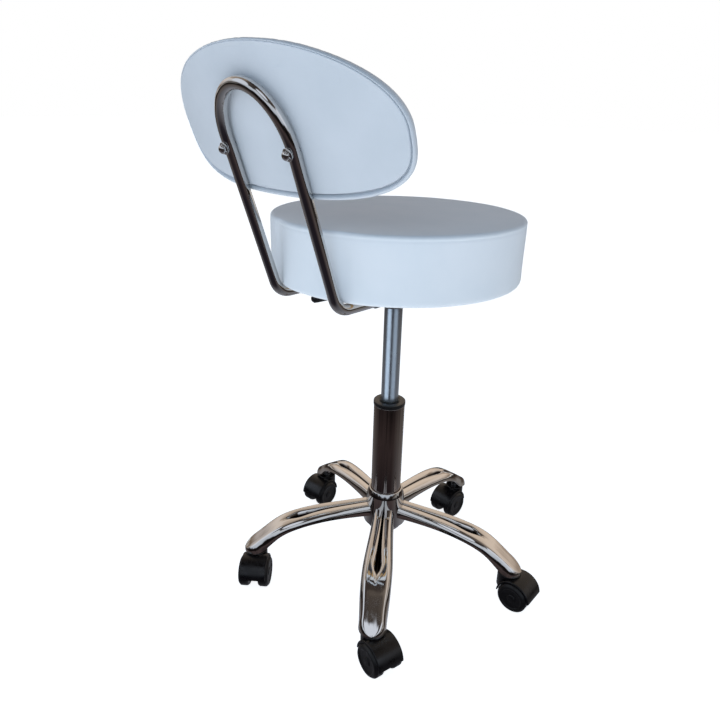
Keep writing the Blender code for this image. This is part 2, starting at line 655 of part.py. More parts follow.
# ---------------------------------------------------------------- backrest tube and its fixings
BAR_HEIGHT = SEAT_UNDERSIDE - GAP - BAR_RADIUS - GAP
ALONG_BAR = Vector((0.0, sin(BAR_LEAN), cos(BAR_LEAN)))
ALONG_LOOP = Vector((0.0, sin(LOOP_LEAN), cos(LOOP_LEAN)))
OUTWARD = Vector((0.0, cos(BAR_LEAN), -sin(BAR_LEAN)))
BEND_CENTRE = Vector((0.0, BAR_BEND_START, BAR_HEIGHT + BAR_BEND_RADIUS))
BEND_TURN = pi / 2 - BAR_LEAN
BEND_END = BEND_CENTRE + BAR_BEND_RADIUS * Vector((0.0, sin(BEND_TURN), -cos(BEND_TURN)))
BOLT_MIDDLE = BEND_END + BAR_STRAIGHT * ALONG_BAR
LOOP_START = BOLT_MIDDLE + LOOP_STRAIGHT * ALONG_LOOP
BEND_STEPS = 6
LOOP_STEPS = 6


def half_bar(overrun=0.0):
    """Middle line of one side, from its end under the seat to the top of the loop."""
    side = Vector((BAR_SPACING / 2, 0.0, 0.0))
    points = [side + Vector((0.0, BAR_FRONT_END - overrun, BAR_HEIGHT))]
    for i in range(BEND_STEPS + 1):
        turn = BEND_TURN * i / BEND_STEPS
        points.append(side + BEND_CENTRE + BAR_BEND_RADIUS * Vector((0.0, sin(turn), -cos(turn))))
    points.append(side + BOLT_MIDDLE - BOLT_EASE[0] * ALONG_BAR)
    points.append(side + BOLT_MIDDLE + BOLT_EASE[1] * ALONG_LOOP)
    for i in range(LOOP_STEPS + 1):
        turn = pi / 2 * i / LOOP_STEPS
        points.append(LOOP_START + side * cos(turn) + LOOP_HEIGHT * sin(turn) * ALONG_LOOP)
    return points


def hairpin(overrun=0.0):
    """The whole middle line, one side and its mirror image."""
    right = half_bar(overrun)
    left = [Vector((-point.x, point.y, point.z)) for point in reversed(right[:-1])]
    return right + left


def back_tube():
    """Hairpin tube: two feet under the seat, two leaning bars and the loop behind the pad."""
    bar = tube("back_tube", hairpin(), BAR_RADIUS, chrome, seat)
    hollow = tube("back_tube_hollow", hairpin(CUT_PAST), BAR_RADIUS - BAR_WALL, None, seat,
                  collection=cutters)
    combine(bar, hollow, "DIFFERENCE")
    for side in (-1, 1):
        start, end = stud_ends(side, 2 * CUT_PAST)
        hole = cylinder(f"bar_hole_{side}", STUD_RADIUS + GAP, start, end, None, seat, segments=12,
                        collection=cutters)
        combine(bar, hole, "DIFFERENCE")
    return bar


def stud_ends(side, overrun=0.0):
    """Ends of a back stud: in the pad's board, and inside the domed nut."""
    middle = BOLT_MIDDLE + Vector((side * BAR_SPACING / 2, 0.0, 0.0))
    inner = middle - (BAR_RADIUS + PAD_GAP + PAD_SKIN + STUD_DEPTH + overrun) * OUTWARD
    outer = middle + (BAR_RADIUS + STUD_IN_NUT + overrun) * OUTWARD
    return inner, outer


def back_stud(side_name, side):
    start, end = stud_ends(side)
    return cylinder(f"back_stud_{side_name}", STUD_RADIUS, start, end, zinc, seat, segments=12)


def dome_nut(side_name, side):
    """Domed nut with its washer face against the back of the bar."""
    bore = STUD_RADIUS + GAP
    profile = ((0.0, 0.0070), (0.0025, 0.0066), (0.0045, 0.0052), (0.0056, 0.0032), (0.0060, 0.0015),
               (0.0074, 0.0013), (0.0074, 0.0), (bore, 0.0), (bore, 0.0048), (0.0, 0.0048))
    nut = turned(f"dome_nut_{side_name}", profile, chrome, seat, steps=14, closed=False)
    middle = BOLT_MIDDLE + Vector((side * BAR_SPACING / 2, 0.0, 0.0))
    nut.location = middle + (BAR_RADIUS + NUT_STANDOFF) * OUTWARD
    nut.rotation_euler = OUTWARD.to_track_quat("Z", "Y").to_euler()
    return nut


SADDLES = [(x, y) for x in (-1, 1) for y in SADDLES_AT]
SADDLE_STEPS = 10               # facets of its half round


def tube_saddle(number, side, y):
    """Pressed clip that straps a foot of the hairpin to the underside of the seat board."""
    centre_x = side * BAR_SPACING / 2
    tab_top = SEAT_UNDERSIDE - GAP
    reach = BAR_RADIUS + GAP + SADDLE_SHEET
    low = tab_top - SADDLE_SHEET
    outer = [(-reach - SADDLE_TAB, tab_top), (-reach - SADDLE_TAB, low), (-reach, low)]
    turns = [i * pi / SADDLE_STEPS for i in range(SADDLE_STEPS + 1)]
    outer += [(-reach * cos(turn), BAR_HEIGHT - reach * sin(turn)) for turn in turns]
    outer += [(reach, low), (reach + SADDLE_TAB, low), (reach + SADDLE_TAB, tab_top)]
    clear = BAR_RADIUS + GAP
    inner = [(clear, tab_top)]
    inner += [(clear * cos(turn), BAR_HEIGHT - clear * sin(turn)) for turn in turns]
    inner += [(-clear, tab_top)]
    outline = outer + inner
    ends = (y - SADDLE_WIDTH / 2, y + SADDLE_WIDTH / 2)
    rings = [[(centre_x + x, along, z) for x, z in outline] for along in ends]
    return loft(f"tube_saddle_{number}", rings, zinc, seat)


def tube_plug(side_name, side):
    """Ribbed plastic plug in a foot's open end."""
    inside = BAR_RADIUS - BAR_WALL - 2 * GAP
    rim = BAR_RADIUS - 0.0004
    profile = ((0.0, PLUG_HEAD), (rim - 0.0021, PLUG_HEAD), (rim, PLUG_HEAD - 0.0020), (rim, GAP),
               (inside, GAP), (inside - 0.0006, -PLUG_LENGTH), (0.0, -PLUG_LENGTH))
    plug = turned(f"tube_plug_{side_name}", profile, black_plastic, seat, steps=12, closed=False)
    plug.location = (side * BAR_SPACING / 2, BAR_FRONT_END, BAR_HEIGHT)
    plug.rotation_euler = Vector((0.0, -1.0, 0.0)).to_track_quat("Z", "Y").to_euler()
    return plug


# ---------------------------------------------------------------- backrest pad
PAD_UP = Vector((0.0, sin(PAD_LEAN), cos(PAD_LEAN)))
PAD_OUT = Vector((0.0, cos(PAD_LEAN), -sin(PAD_LEAN)))
PAD_SEGMENTS = 32
# inset from the outline and share of the thickness, from the rear edge round to the front face
PAD_SIDE = ((0.0040, 0.0), (0.0008, 0.09), (0.0, 0.21), (0.0010, 0.50), (0.0045, 0.75), (0.0110, 0.92))
PAD_FRONT_INSET = 0.0200
PAD_SHARES = (0.10, 0.40, 0.70, 1.0)              # nested rings that fill the pad's faces
PAD_TOUCHES = BAR_SPACING**2 / (8 * PAD_BEND_RADIUS)    # sag of the bent pad between the two bars


def pad_point(across, up, depth):
    """A point of the bent pad: arc length across, height up its lean, depth from its rear face."""
    turn = across / PAD_BEND_RADIUS
    radius = PAD_BEND_RADIUS - depth
    out = PAD_TOUCHES - PAD_BEND_RADIUS + radius * cos(turn)
    origin = BOLT_MIDDLE + PAD_UP_FROM_BOLTS * PAD_UP - (BAR_RADIUS + PAD_GAP) * PAD_OUT
    return origin + Vector((radius * sin(turn), 0.0, 0.0)) + out * PAD_OUT + up * PAD_UP


def pad_ring(inset, depth, share=1.0):
    """One closed ring of the pad: flatter below and rounder above its widest line."""
    ring = []
    for i in range(PAD_SEGMENTS):
        turn = 2 * pi * i / PAD_SEGMENTS
        above = sin(turn) >= 0.0
        power = PAD_POWER_ABOVE if above else PAD_POWER_BELOW
        half_height = (PAD_ABOVE if above else PAD_BELOW) - inset
        across = (PAD_WIDTH / 2 - inset) * abs(cos(turn))**(2 / power)
        up = half_height * abs(sin(turn))**(2 / power)
        across = across if cos(turn) >= 0.0 else -across
        up = up if above else -up
        ring.append(pad_point(share * across, share * up, depth))
    return ring


def back_cushion():
    """Foam and cover, with the curved board let into its rear face."""
    recess = PAD_BOARD_INSET - 2 * GAP
    floor = PAD_SKIN + PAD_BOARD_THICKNESS + 3 * GAP
    thick = PAD_THICKNESS
    rings = [pad_ring(recess, floor, share) for share in PAD_SHARES]
    rings.append(pad_ring(recess, 0.0))
    rings += [pad_ring(inset, share * thick) for inset, share in PAD_SIDE]
    rings += [pad_ring(PAD_FRONT_INSET, thick, share) for share in reversed(PAD_SHARES)]
    return loft("back_cushion", rings, white_back_leather, seat)


def back_board():
    """Curved plywood board, just under the cover of the pad's rear face."""
    near, far = PAD_SKIN, PAD_SKIN + PAD_BOARD_THICKNESS
    inset = PAD_BOARD_INSET
    rings = [pad_ring(inset, near, share) for share in PAD_SHARES]
    rings += [pad_ring(inset, far, share) for share in reversed(PAD_SHARES)]
    board = loft("back_board", rings, plywood, seat)
    for side in (-1, 1):
        start, end = stud_ends(side)
        along = (end - start).normalized()
        hole = cylinder(f"back_board_hole_{side}", STUD_RADIUS + GAP, start - GAP * along, end, None,
                        seat, segments=12, collection=cutters)
        combine(board, hole, "DIFFERENCE")
    return board


# ---------------------------------------------------------------- assembly
base_hub()
for k in range(LEG_COUNT):
    leg_turn = radians(FIRST_LEG_AT + k * 360 / LEG_COUNT)
    leg_axis = empty(f"leg_{k + 1}_axis", base, turn=leg_turn)
    base_leg(k + 1, leg_axis)
    castor(k + 1, leg_axis, radians(CASTOR_TURNS[k]) - leg_turn)

column_tube()
column_collar()
piston_rod()
thrust_race()
rod_clip()
lift_tube()
release_button()

seat_plate()
for k, (screw_x, screw_y) in enumerate(PLATE_SCREWS):
    plate_screw(k + 1, screw_x, screw_y)
lever_axis = empty("lever_axis", seat, lever_point(LEVER_PIVOT))
height_lever(lever_axis)
seat_board()
seat_cushion()

back_tube()
for k, (saddle_side, saddle_y) in enumerate(SADDLES):
    tube_saddle(k + 1, saddle_side, saddle_y)
for side_word, side_sign in (("right", -1), ("left", 1)):
    back_stud(side_word, side_sign)
    dome_nut(side_word, side_sign)
    tube_plug(side_word, side_sign)
back_board()
back_cushion()
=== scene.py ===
from math import atan2, cos, pi, radians, sin, sqrt

import bmesh
import bpy
from mathutils import Matrix, Vector, noise


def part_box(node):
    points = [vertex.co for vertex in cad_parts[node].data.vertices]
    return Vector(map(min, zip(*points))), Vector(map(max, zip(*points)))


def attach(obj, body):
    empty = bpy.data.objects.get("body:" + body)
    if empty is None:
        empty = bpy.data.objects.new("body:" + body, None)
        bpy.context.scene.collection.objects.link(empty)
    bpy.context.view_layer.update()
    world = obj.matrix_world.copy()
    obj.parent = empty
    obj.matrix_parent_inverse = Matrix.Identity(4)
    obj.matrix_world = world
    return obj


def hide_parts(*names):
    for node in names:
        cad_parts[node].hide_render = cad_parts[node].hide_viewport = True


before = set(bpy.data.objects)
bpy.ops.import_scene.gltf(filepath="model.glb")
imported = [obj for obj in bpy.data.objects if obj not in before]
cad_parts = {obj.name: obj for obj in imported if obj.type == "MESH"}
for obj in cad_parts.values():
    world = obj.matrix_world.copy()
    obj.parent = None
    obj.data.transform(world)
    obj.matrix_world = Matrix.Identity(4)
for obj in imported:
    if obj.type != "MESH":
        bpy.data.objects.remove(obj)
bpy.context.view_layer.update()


# ======================================================================== gas lift
# Two telescoping steel tubes.  The outer one is chrome plated and stands in the base; the inner one
# is ground and hard chromed, slides through a black plastic guide and carries the seat.
def srgb(code):
    """Linear colour from a hex value such as #C0C0C0."""
    values = [int(code[i:i + 2], 16) / 255 for i in (1, 3, 5)]
    linear = [v / 12.92 if v <= 0.04045 else ((v + 0.055) / 1.055)**2.4 for v in values]
    return (*linear, 1.0)


def add_node(tree, kind, feeds=None, **settings):
    """One node, with its settings, and its sockets given a value or linked to another node's output."""
    made = tree.nodes.new(kind)
    for setting, value in settings.items():
        setattr(made, setting, value)
    for socket, feed in (feeds or {}).items():
        if isinstance(feed, bpy.types.NodeSocket):
            tree.links.new(feed, made.inputs[socket])
        else:
            made.inputs[socket].default_value = feed
    return made


def finish_of(name, colour, metallic, roughness, **sockets):
    """A new material, its node tree and its shader, with the constant values on the shader itself."""
    finish = bpy.data.materials.new(name)
    finish.use_nodes = True
    tree = finish.node_tree
    shader = tree.nodes["Principled BSDF"]
    shader.inputs["Base Color"].default_value = srgb(colour)
    shader.inputs["Metallic"].default_value = metallic
    shader.inputs["Roughness"].default_value = roughness
    for socket, value in sockets.items():
        shader.inputs[socket.replace("_", " ")].default_value = value
    return finish, tree, shader


def per_metre(millimetres):
    """Noise scale whose features are about that many millimetres apart."""
    return 1000.0 / millimetres


def worn_surface(tree, shader, spot_mm, low, high, bump_mm, depth):
    """Roughness that wanders between two values over a spot size, and a shallow waviness."""
    place = add_node(tree, "ShaderNodeTexCoord").outputs["Object"]
    smudge = add_node(tree, "ShaderNodeTexNoise", {"Vector": place, "Scale": per_metre(spot_mm), "Detail": 6.0,
                                                   "Roughness": 0.62})
    spread = add_node(tree, "ShaderNodeMapRange", {"Value": smudge.outputs["Fac"], "From Min": 0.35,
                                                   "From Max": 0.70, "To Min": low, "To Max": high})
    tree.links.new(spread.outputs["Result"], shader.inputs["Roughness"])
    wave = add_node(tree, "ShaderNodeTexNoise", {"Vector": place, "Scale": per_metre(bump_mm), "Detail": 2.0})
    bump = add_node(tree, "ShaderNodeBump", {"Height": wave.outputs["Fac"], "Strength": 1.0, "Distance": depth})
    tree.links.new(bump.outputs["Normal"], shader.inputs["Normal"])
    return place, smudge, bump


def skin(rings, closed=True, cap_first=False, cap_last=False):
    """Points and faces of a surface through rings of equal count; a ring of one point is a tip."""
    points, faces, starts = [], [], []
    for ring in rings:
        starts.append(len(points))
        points.extend(Vector(point) for point in ring)
    for near, far, a, b in zip(rings, rings[1:], starts, starts[1:]):
        count = max(len(near), len(far))
        for i in range(count if closed else count - 1):
            j = (i + 1) % count
            if len(near) == 1:
                faces.append((a, b + j, b + i))
            elif len(far) == 1:
                faces.append((a + i, a + j, b))
            else:
                faces.append((a + i, a + j, b + j, b + i))
    if cap_first:
        faces.append(tuple(range(starts[0] + len(rings[0]) - 1, starts[0] - 1, -1)))
    if cap_last:
        faces.append(tuple(range(starts[-1], starts[-1] + len(rings[-1]))))
    return points, faces


def turned(profile, steps=72):
    """A profile of (radius, z) turned about Z."""
    rings = []
    for radius, z in profile:
        if radius < 1e-6:
            rings.append([(0.0, 0.0, z)])
        else:
            rings.append([(radius * cos(2 * pi * i / steps), radius * sin(2 * pi * i / steps), z)
                          for i in range(steps)])
    return skin(rings)


def mesh_of(name, made, place=Matrix.Identity(4), crease=38.0):
    """Smooth-shaded mesh with outward faces, its edges kept sharp past the crease angle."""
    mesh = bpy.data.meshes.new(name)
    mesh.from_pydata([place @ point for point in made[0]], [], made[1])
    bm = bmesh.new()
    bm.from_mesh(mesh)
    bmesh.ops.recalc_face_normals(bm, faces=bm.faces)
    bm.to_mesh(mesh)
    bm.free()
    mesh.shade_smooth()
    mesh.set_sharp_from_angle(angle=radians(crease))
    return mesh


def piece(name, mesh, finish, body, replaces=()):
    """A finished piece: its mesh, material, body, and the CAD nodes that it stands for."""
    made = bpy.data.objects.new(name, mesh)
    bpy.context.scene.collection.objects.link(made)
    mesh.materials.clear()
    mesh.materials.append(finish)
    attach(made, body)
    if replaces:
        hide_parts(*replaces)
    return made


def rounded(corners, radius=0.0006, steps=3):
    """An open profile with its inner corners rounded off."""
    made = [corners[0]]
    for before, corner, after in zip(corners, corners[1:], corners[2:]):
        b, c, a = Vector(before), Vector(corner), Vector(after)
        cut = min(radius, 0.45 * (b - c).length, 0.45 * (a - c).length)
        start, end = c + (b - c).normalized() * cut, c + (a - c).normalized() * cut
        for i in range(steps + 1):
            t = i / steps
            made.append(tuple((1 - t)**2 * start + 2 * t * (1 - t) * c + t * t * end))
    return made + [corners[-1]]


# chrome plate over polished steel: mirror bright, faint smudges, a slight ripple in what it mirrors
chrome, tree, shader = finish_of("chrome_plate", "#C9C7C5", 1.0, 0.05)
worn_surface(tree, shader, spot_mm=22, low=0.025, high=0.11, bump_mm=16, depth=0.00010)

# the pressed legs are less true than a turned part, so what they mirror swims about
pressed_chrome, tree, shader = finish_of("pressed_sheet_chrome_plate", "#CFCCC9", 1.0, 0.05)
worn_surface(tree, shader, spot_mm=18, low=0.02, high=0.12, bump_mm=30, depth=0.00055)
# painted shade: the bottom of each leg's groove is painted nearly black, standing in for the shade and dark reflection
# that fall in it
groove_shade_attribute = add_node(tree, "ShaderNodeAttribute", attribute_name="groove")
painted_groove_shade = add_node(tree, "ShaderNodeMapRange", {"Value": groove_shade_attribute.outputs["Fac"], "From Min": 0.22, "From Max": 0.55})
plate_with_painted_groove_shade = add_node(tree, "ShaderNodeMix", {"Factor": painted_groove_shade.outputs["Result"], "A": srgb("#CFCCC9"),
                                           "B": srgb("#120E0D")}, data_type="RGBA")
tree.links.new(plate_with_painted_groove_shade.outputs["Result"], shader.inputs["Base Color"])

# the column's plate is smokier than the base's, with fine wipe marks round it
column_chrome, tree, shader = finish_of("smoked_chrome_plate", "#9A9390", 1.0, 0.08)
worn_surface(tree, shader, spot_mm=14, low=0.05, high=0.16, bump_mm=30, depth=0.00006)

# hard chrome over ground steel: softer than a mirror, with lines too fine to see from the grinding
ground_steel, tree, shader = finish_of("ground_hard_chrome", "#BCC8D2", 1.0, 0.2)
place, smudge, bump = worn_surface(tree, shader, spot_mm=9, low=0.27, high=0.36, bump_mm=25, depth=0.00002)
# grinding lines run round the tube every 0.05 mm; drawn 0.9 mm apart so that they show
stretch = add_node(tree, "ShaderNodeMapping", {"Vector": place, "Scale": (20.0, 20.0, per_metre(0.9))})
lines = add_node(tree, "ShaderNodeTexNoise", {"Vector": stretch.outputs["Vector"], "Scale": 1.0, "Detail": 3.0})
ground = add_node(tree, "ShaderNodeBump", {"Height": lines.outputs["Fac"], "Distance": 0.000002,
                                           "Normal": bump.outputs["Normal"]})
tree.links.new(ground.outputs["Normal"], shader.inputs["Normal"])

# acetal guide, moulded black: satin, with a fine spark texture 0.4 mm across
moulded_black, tree, shader = finish_of("moulded_black_acetal", "#101012", 0.0, 0.34, IOR=1.48)
worn_surface(tree, shader, spot_mm=6, low=0.26, high=0.42, bump_mm=0.8, depth=0.00002)

tube_low, tube_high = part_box("lift_tube")
column_low, column_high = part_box("column_tube")
collar_low, collar_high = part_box("column_collar")
AXIS = Vector(((tube_low.x + tube_high.x) / 2, (tube_low.y + tube_high.y) / 2, 0.0))
ON_AXIS = Matrix.Translation(AXIS)
LIFT_RADIUS = (tube_high.x - tube_low.x) / 2
COLUMN_RADIUS = (column_high.x - column_low.x) / 2
COLLAR_RADIUS = (collar_high.x - collar_low.x) / 2
COLUMN_WALL = 0.0013
COLLAR_FOOT = column_high.z + 0.0003

column_profile = rounded([
    (0.0055, column_low.z), (COLUMN_RADIUS - 0.0006, column_low.z), (COLUMN_RADIUS, 0.100),
    (COLUMN_RADIUS, column_high.z), (COLUMN_RADIUS - COLUMN_WALL, column_high.z),
    (COLUMN_RADIUS - COLUMN_WALL, column_low.z + 0.003), (0.0055, column_low.z + 0.003)])
column_profile.append(column_profile[0])
piece("column_chromed", mesh_of("column", turned(column_profile, 96), ON_AXIS), column_chrome, "base",
      ["column_tube"])

collar_profile = rounded([
    (LIFT_RADIUS + 0.0003, collar_low.z), (COLUMN_RADIUS - COLUMN_WALL - 0.0003, collar_low.z),
    (COLUMN_RADIUS - COLUMN_WALL - 0.0003, COLLAR_FOOT), (COLLAR_RADIUS, COLLAR_FOOT),
    (COLLAR_RADIUS, collar_high.z), (LIFT_RADIUS + 0.0032, collar_high.z),
    (LIFT_RADIUS + 0.0003, collar_high.z - 0.0022)], 0.0012)
collar_profile.append(collar_profile[0])
piece("column_guide", mesh_of("guide", turned(collar_profile, 96), ON_AXIS), moulded_black, "base",
      ["column_collar"])

lift_profile = rounded([
    (0.0, tube_high.z), (0.0120, tube_high.z), (0.0125, tube_high.z - 0.001), (LIFT_RADIUS, 0.470),
    (LIFT_RADIUS, tube_low.z), (0.0053, tube_low.z), (0.0053, tube_low.z + 0.010), (0.0122, tube_low.z + 0.010),
    (0.0122, 0.465), (0.0, 0.465)])
lift = piece("lift_tube_ground", mesh_of("lift", turned(lift_profile, 96), ON_AXIS), ground_steel, "seat",
      ["lift_tube"])
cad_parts["piston_rod"].data.materials.clear()
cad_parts["piston_rod"].data.materials.append(ground_steel)


# ======================================================================== base
# Five legs pressed from 2 mm sheet, welded to a coned hub and chromed together.  Each leg is open
# below, with two rolled lobes, a groove between them and a round nose over its castor's socket.
def eased(points, x):
    """Value at x on a smooth curve through given points."""
    if x <= points[0][0]:
        return points[0][1]
    slopes = []
    for i in range(len(points)):
        before, after = points[max(i - 1, 0)], points[min(i + 1, len(points) - 1)]
        slopes.append((after[1] - before[1]) / (after[0] - before[0]))
    for (x0, y0), (x1, y1), m0, m1 in zip(points, points[1:], slopes, slopes[1:]):
        if x <= x1:
            t, span = (x - x0) / (x1 - x0), x1 - x0
            return ((2 * t**3 - 3 * t**2 + 1) * y0 + (t**3 - 2 * t**2 + t) * span * m0
                    + (3 * t**2 - 2 * t**3) * y1 + (t**3 - t**2) * span * m1)
    return points[-1][1]


LEG_CROWN = ((0.030, 0.1275), (0.070, 0.1250), (0.110, 0.1215), (0.150, 0.1150), (0.175, 0.1075),
             (0.195, 0.0965), (0.215, 0.0820), (0.230, 0.0705), (0.2415, 0.0605))
LEG_HALF_WIDTH = ((0.030, 0.0182), (0.070, 0.0192), (0.110, 0.0212), (0.150, 0.0232), (0.185, 0.0228),
                  (0.215, 0.0205))
LEG_DEPTH = ((0.030, 0.0180), (0.085, 0.0140), (0.120, 0.0125), (0.150, 0.0125), (0.185, 0.0150),
             (0.215, 0.0210), (0.2415, 0.0050))
LEG_GROOVE = ((0.030, 0.0040), (0.080, 0.0060), (0.130, 0.0080), (0.152, 0.0080), (0.170, 0.0020), (0.182, 0.0))
LEG_GROOVE_WIDE = ((0.030, 0.14), (0.090, 0.16), (0.125, 0.22), (0.150, 0.33), (0.170, 0.20), (0.200, 0.16))
CASTOR_AT_RADIUS = 0.221
LEG_NOSE_RADIUS = 0.0205
LEG_ROOT = 0.0285
LEG_FOOT = 0.0535
LEG_SHEET = 0.002
LEG_SPAN_STEPS = 7


def leg_outline(crown, foot, groove, wide):
    """One side of a section, from its lower edge to the groove, as shares of half width and heights."""
    drop = crown - foot
    marks = [(1.03, foot - 0.2 * drop), (1.0, foot), (0.95, crown - 0.58 * drop), (0.84, crown - 0.26 * drop),
             (0.68, crown - 0.04 * drop), (0.5 * (0.68 + wide), crown), (wide, crown - 0.12 * groove),
             (0.5 * wide, crown - 0.56 * groove), (0.0, crown - groove), (-0.5 * wide, crown - 0.56 * groove)]
    made = []
    for a, b, c, d in zip(marks, marks[1:], marks[2:], marks[3:]):
        for i in range(LEG_SPAN_STEPS):
            t = i / LEG_SPAN_STEPS
            made.append(tuple(0.5 * (2 * b[k] + (c[k] - a[k]) * t + (2 * a[k] - 5 * b[k] + 4 * c[k] - d[k]) * t * t
                                     + (3 * b[k] - a[k] - 3 * c[k] + d[k]) * t**3) for k in (0, 1)))
    return made + [marks[-2]]


def leg_ring(radius, half, inset):
    """A section across a leg at one radius; inset moves it to the inner face of the sheet."""
    crown = eased(LEG_CROWN, radius)
    foot = max(LEG_FOOT, crown - eased(LEG_DEPTH, radius))
    side = [(radius - min(inset, 0.4 * inset), share * max(half - inset, 0.0), z - (inset if z > foot + 1e-6 else 0.0))
            for share, z in leg_outline(crown, foot, eased(LEG_GROOVE, radius), eased(LEG_GROOVE_WIDE, radius))]
    return side + [(x, -y, z) for x, y, z in reversed(side[:-1])]


leg_stations = [LEG_ROOT + (CASTOR_AT_RADIUS - LEG_ROOT) * i / 46 for i in range(46)]
leg_halves = [eased(LEG_HALF_WIDTH, r) for r in leg_stations]
for i in range(15):
    turn = pi / 2 * i / 14
    leg_stations.append(CASTOR_AT_RADIUS + LEG_NOSE_RADIUS * sin(turn))
    leg_halves.append(eased(LEG_HALF_WIDTH, CASTOR_AT_RADIUS) * max(cos(turn), 0.02))
outer = [leg_ring(r, half, 0.0) for r, half in zip(leg_stations, leg_halves)]
inner = [leg_ring(r, half, LEG_SHEET) for r, half in zip(leg_stations[:-4], leg_halves[:-4])]
leg_points, leg_faces = skin([outer_ring + inner_ring[::-1] for outer_ring, inner_ring in zip(outer, inner)]
                             + [ring + [ring[-1 - k] for k in range(len(ring))] for ring in outer[-4:]],
                             cap_first=True)
boss_top = eased(LEG_CROWN, CASTOR_AT_RADIUS + 0.008) - LEG_SHEET
boss = turned(rounded([(0.0055, 0.0590), (0.0080, 0.0590), (0.0080, boss_top), (0.0055, boss_top)]) + [(0.0055, 0.0590)],
              40)
first = len(leg_points)
leg_points += [Vector((point.x + CASTOR_AT_RADIUS, point.y, point.z)) for point in boss[0]]
leg_faces += [tuple(first + i for i in face) for face in boss[1]]

# a groove this deep or deeper takes the full painted shade at its bottom
GROOVE_SHADE_FULL_DEPTH = 0.0060


def groove_shade_share(point):
    """Share of painted shade: 1 at the bottom of a leg's groove and 0 outside it, for a point in the leg's own frame.
    """
    wide = eased(LEG_GROOVE_WIDE, point.x) * eased(LEG_HALF_WIDTH, min(point.x, CASTOR_AT_RADIUS))
    deep = min(eased(LEG_GROOVE, point.x) / GROOVE_SHADE_FULL_DEPTH, 1.0)
    return deep * max(0.0, 1.0 - abs(point.y) / wide)


for number in range(1, 6):
    stem_low, stem_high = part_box(f"castor_{number}_stem")
    stem_at = (stem_low + stem_high) / 2
    way = atan2(stem_at.y - AXIS.y, stem_at.x - AXIS.x)
    place = ON_AXIS @ Matrix.Rotation(way, 4, "Z")
    leg_mesh = mesh_of(f"leg_{number}", (leg_points, leg_faces), place, 50.0)
    bm = bmesh.new()
    bm.from_mesh(leg_mesh)
    bmesh.ops.remove_doubles(bm, verts=bm.verts, dist=0.00002)
    bm.to_mesh(leg_mesh)
    bm.free()
    # each point's share of the painted groove shade, kept on the mesh as its groove attribute for the leg material
    shares = [groove_shade_share(place.inverted() @ vertex.co) for vertex in leg_mesh.vertices]
    leg_mesh.attributes.new("groove", "FLOAT", "POINT").data.foreach_set("value", shares)
    piece(f"leg_{number}", leg_mesh, pressed_chrome, "base", [f"base_leg_{number}"])

hub_low, hub_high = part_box("base_hub")
hub_profile = rounded([
    (0.0256, hub_low.z), (0.0256, hub_high.z), (0.0280, hub_high.z), (0.0312, 0.1450), (0.0365, 0.0920),
    (0.0340, 0.0920), (0.0292, 0.1380), (0.0285, hub_low.z)], 0.0010)
hub_profile.append(hub_profile[0])
piece("hub_cone", mesh_of("hub", turned(hub_profile, 96), ON_AXIS), chrome, "base", ["base_hub"])

# zinc plate on the hidden steel parts: pale satin metal with a cloudy crystal pattern 3 mm across
zinc, tree, shader = finish_of("zinc_plated_steel", "#B4B7BB", 1.0, 0.36)
place, smudge, bump = worn_surface(tree, shader, spot_mm=3, low=0.28, high=0.46, bump_mm=2, depth=0.00002)
cloud = add_node(tree, "ShaderNodeMix", {"Factor": smudge.outputs["Fac"], "A": srgb("#A3A6AB"),
                                         "B": srgb("#C6C9CC")}, data_type="RGBA")
tree.links.new(cloud.outputs["Result"], shader.inputs["Base Color"])


def refinish(finish, *nodes):
    """Gives CAD nodes that keep their own shape a finished material."""
    for node in nodes:
        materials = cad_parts[node].data.materials
        materials.clear()
        materials.append(finish)


refinish(zinc, "thrust_race", "rod_clip", "release_button", "seat_plate", "height_lever", "back_stud_left",
         "back_stud_right", *(f"plate_screw_{i}" for i in range(1, 5)), *(f"tube_saddle_{i}" for i in range(1, 5)),
         *(f"castor_{i}_stem" for i in range(1, 6)), *(f"castor_{i}_axle" for i in range(1, 6)))
refinish(moulded_black, "tube_plug_left", "tube_plug_right", "lever_grip")


# ======================================================================== castors
# Twin-wheel castors moulded in black nylon: a hood with a round neck on the stem, a fender over both
# wheels and a web between them, which the steel axle passes through.
CASTOR_TRAIL = 0.0205
WHEEL_RADIUS = 0.025
HOOD_RADIUS = 0.0290
HOOD_HALF_WIDTH = 0.0215
WELL_RADIUS = 0.0264
WEB_HALF = 0.0068
HOOD_EDGE = 0.0272
NECK_RADIUS = 0.0168
NECK_BOTTOM = 0.028
NECK_TOP = 0.055
HOOD_ROUNDING = 0.0011

# glass-filled nylon from a polished mould: near black, satin gloss, dulled by handling
nylon_hood, tree, shader = finish_of("black_nylon_hood", "#060609", 0.0, 0.26, IOR=1.45)
worn_surface(tree, shader, spot_mm=12, low=0.22, high=0.44, bump_mm=1.2, depth=0.00002)

# the wheels are the same nylon, duller where they roll and pick up dust
nylon_wheel, tree, shader = finish_of("black_nylon_wheel", "#08080A", 0.0, 0.4, IOR=1.45)
place, smudge, bump = worn_surface(tree, shader, spot_mm=7, low=0.34, high=0.58, bump_mm=1.0, depth=0.00003)
dust = add_node(tree, "ShaderNodeMapRange", {"Value": smudge.outputs["Fac"], "From Min": 0.55, "From Max": 0.80})
dusty = add_node(tree, "ShaderNodeMix", {"Factor": dust.outputs["Result"], "A": srgb("#070709"),
                                         "B": srgb("#151416")}, data_type="RGBA")
tree.links.new(dusty.outputs["Result"], shader.inputs["Base Color"])


def solid(made, place=Matrix.Identity(4)):
    """A working solid for cutting and joining, removed afterwards."""
    made = bpy.data.objects.new("working", mesh_of("working", made, place))
    bpy.context.scene.collection.objects.link(made)
    return made


def rod(radius, length, steps=64):
    """A plain round bar along Z, centred."""
    return turned([(0.0, -length / 2), (radius, -length / 2), (radius, length / 2), (0.0, length / 2)], steps)


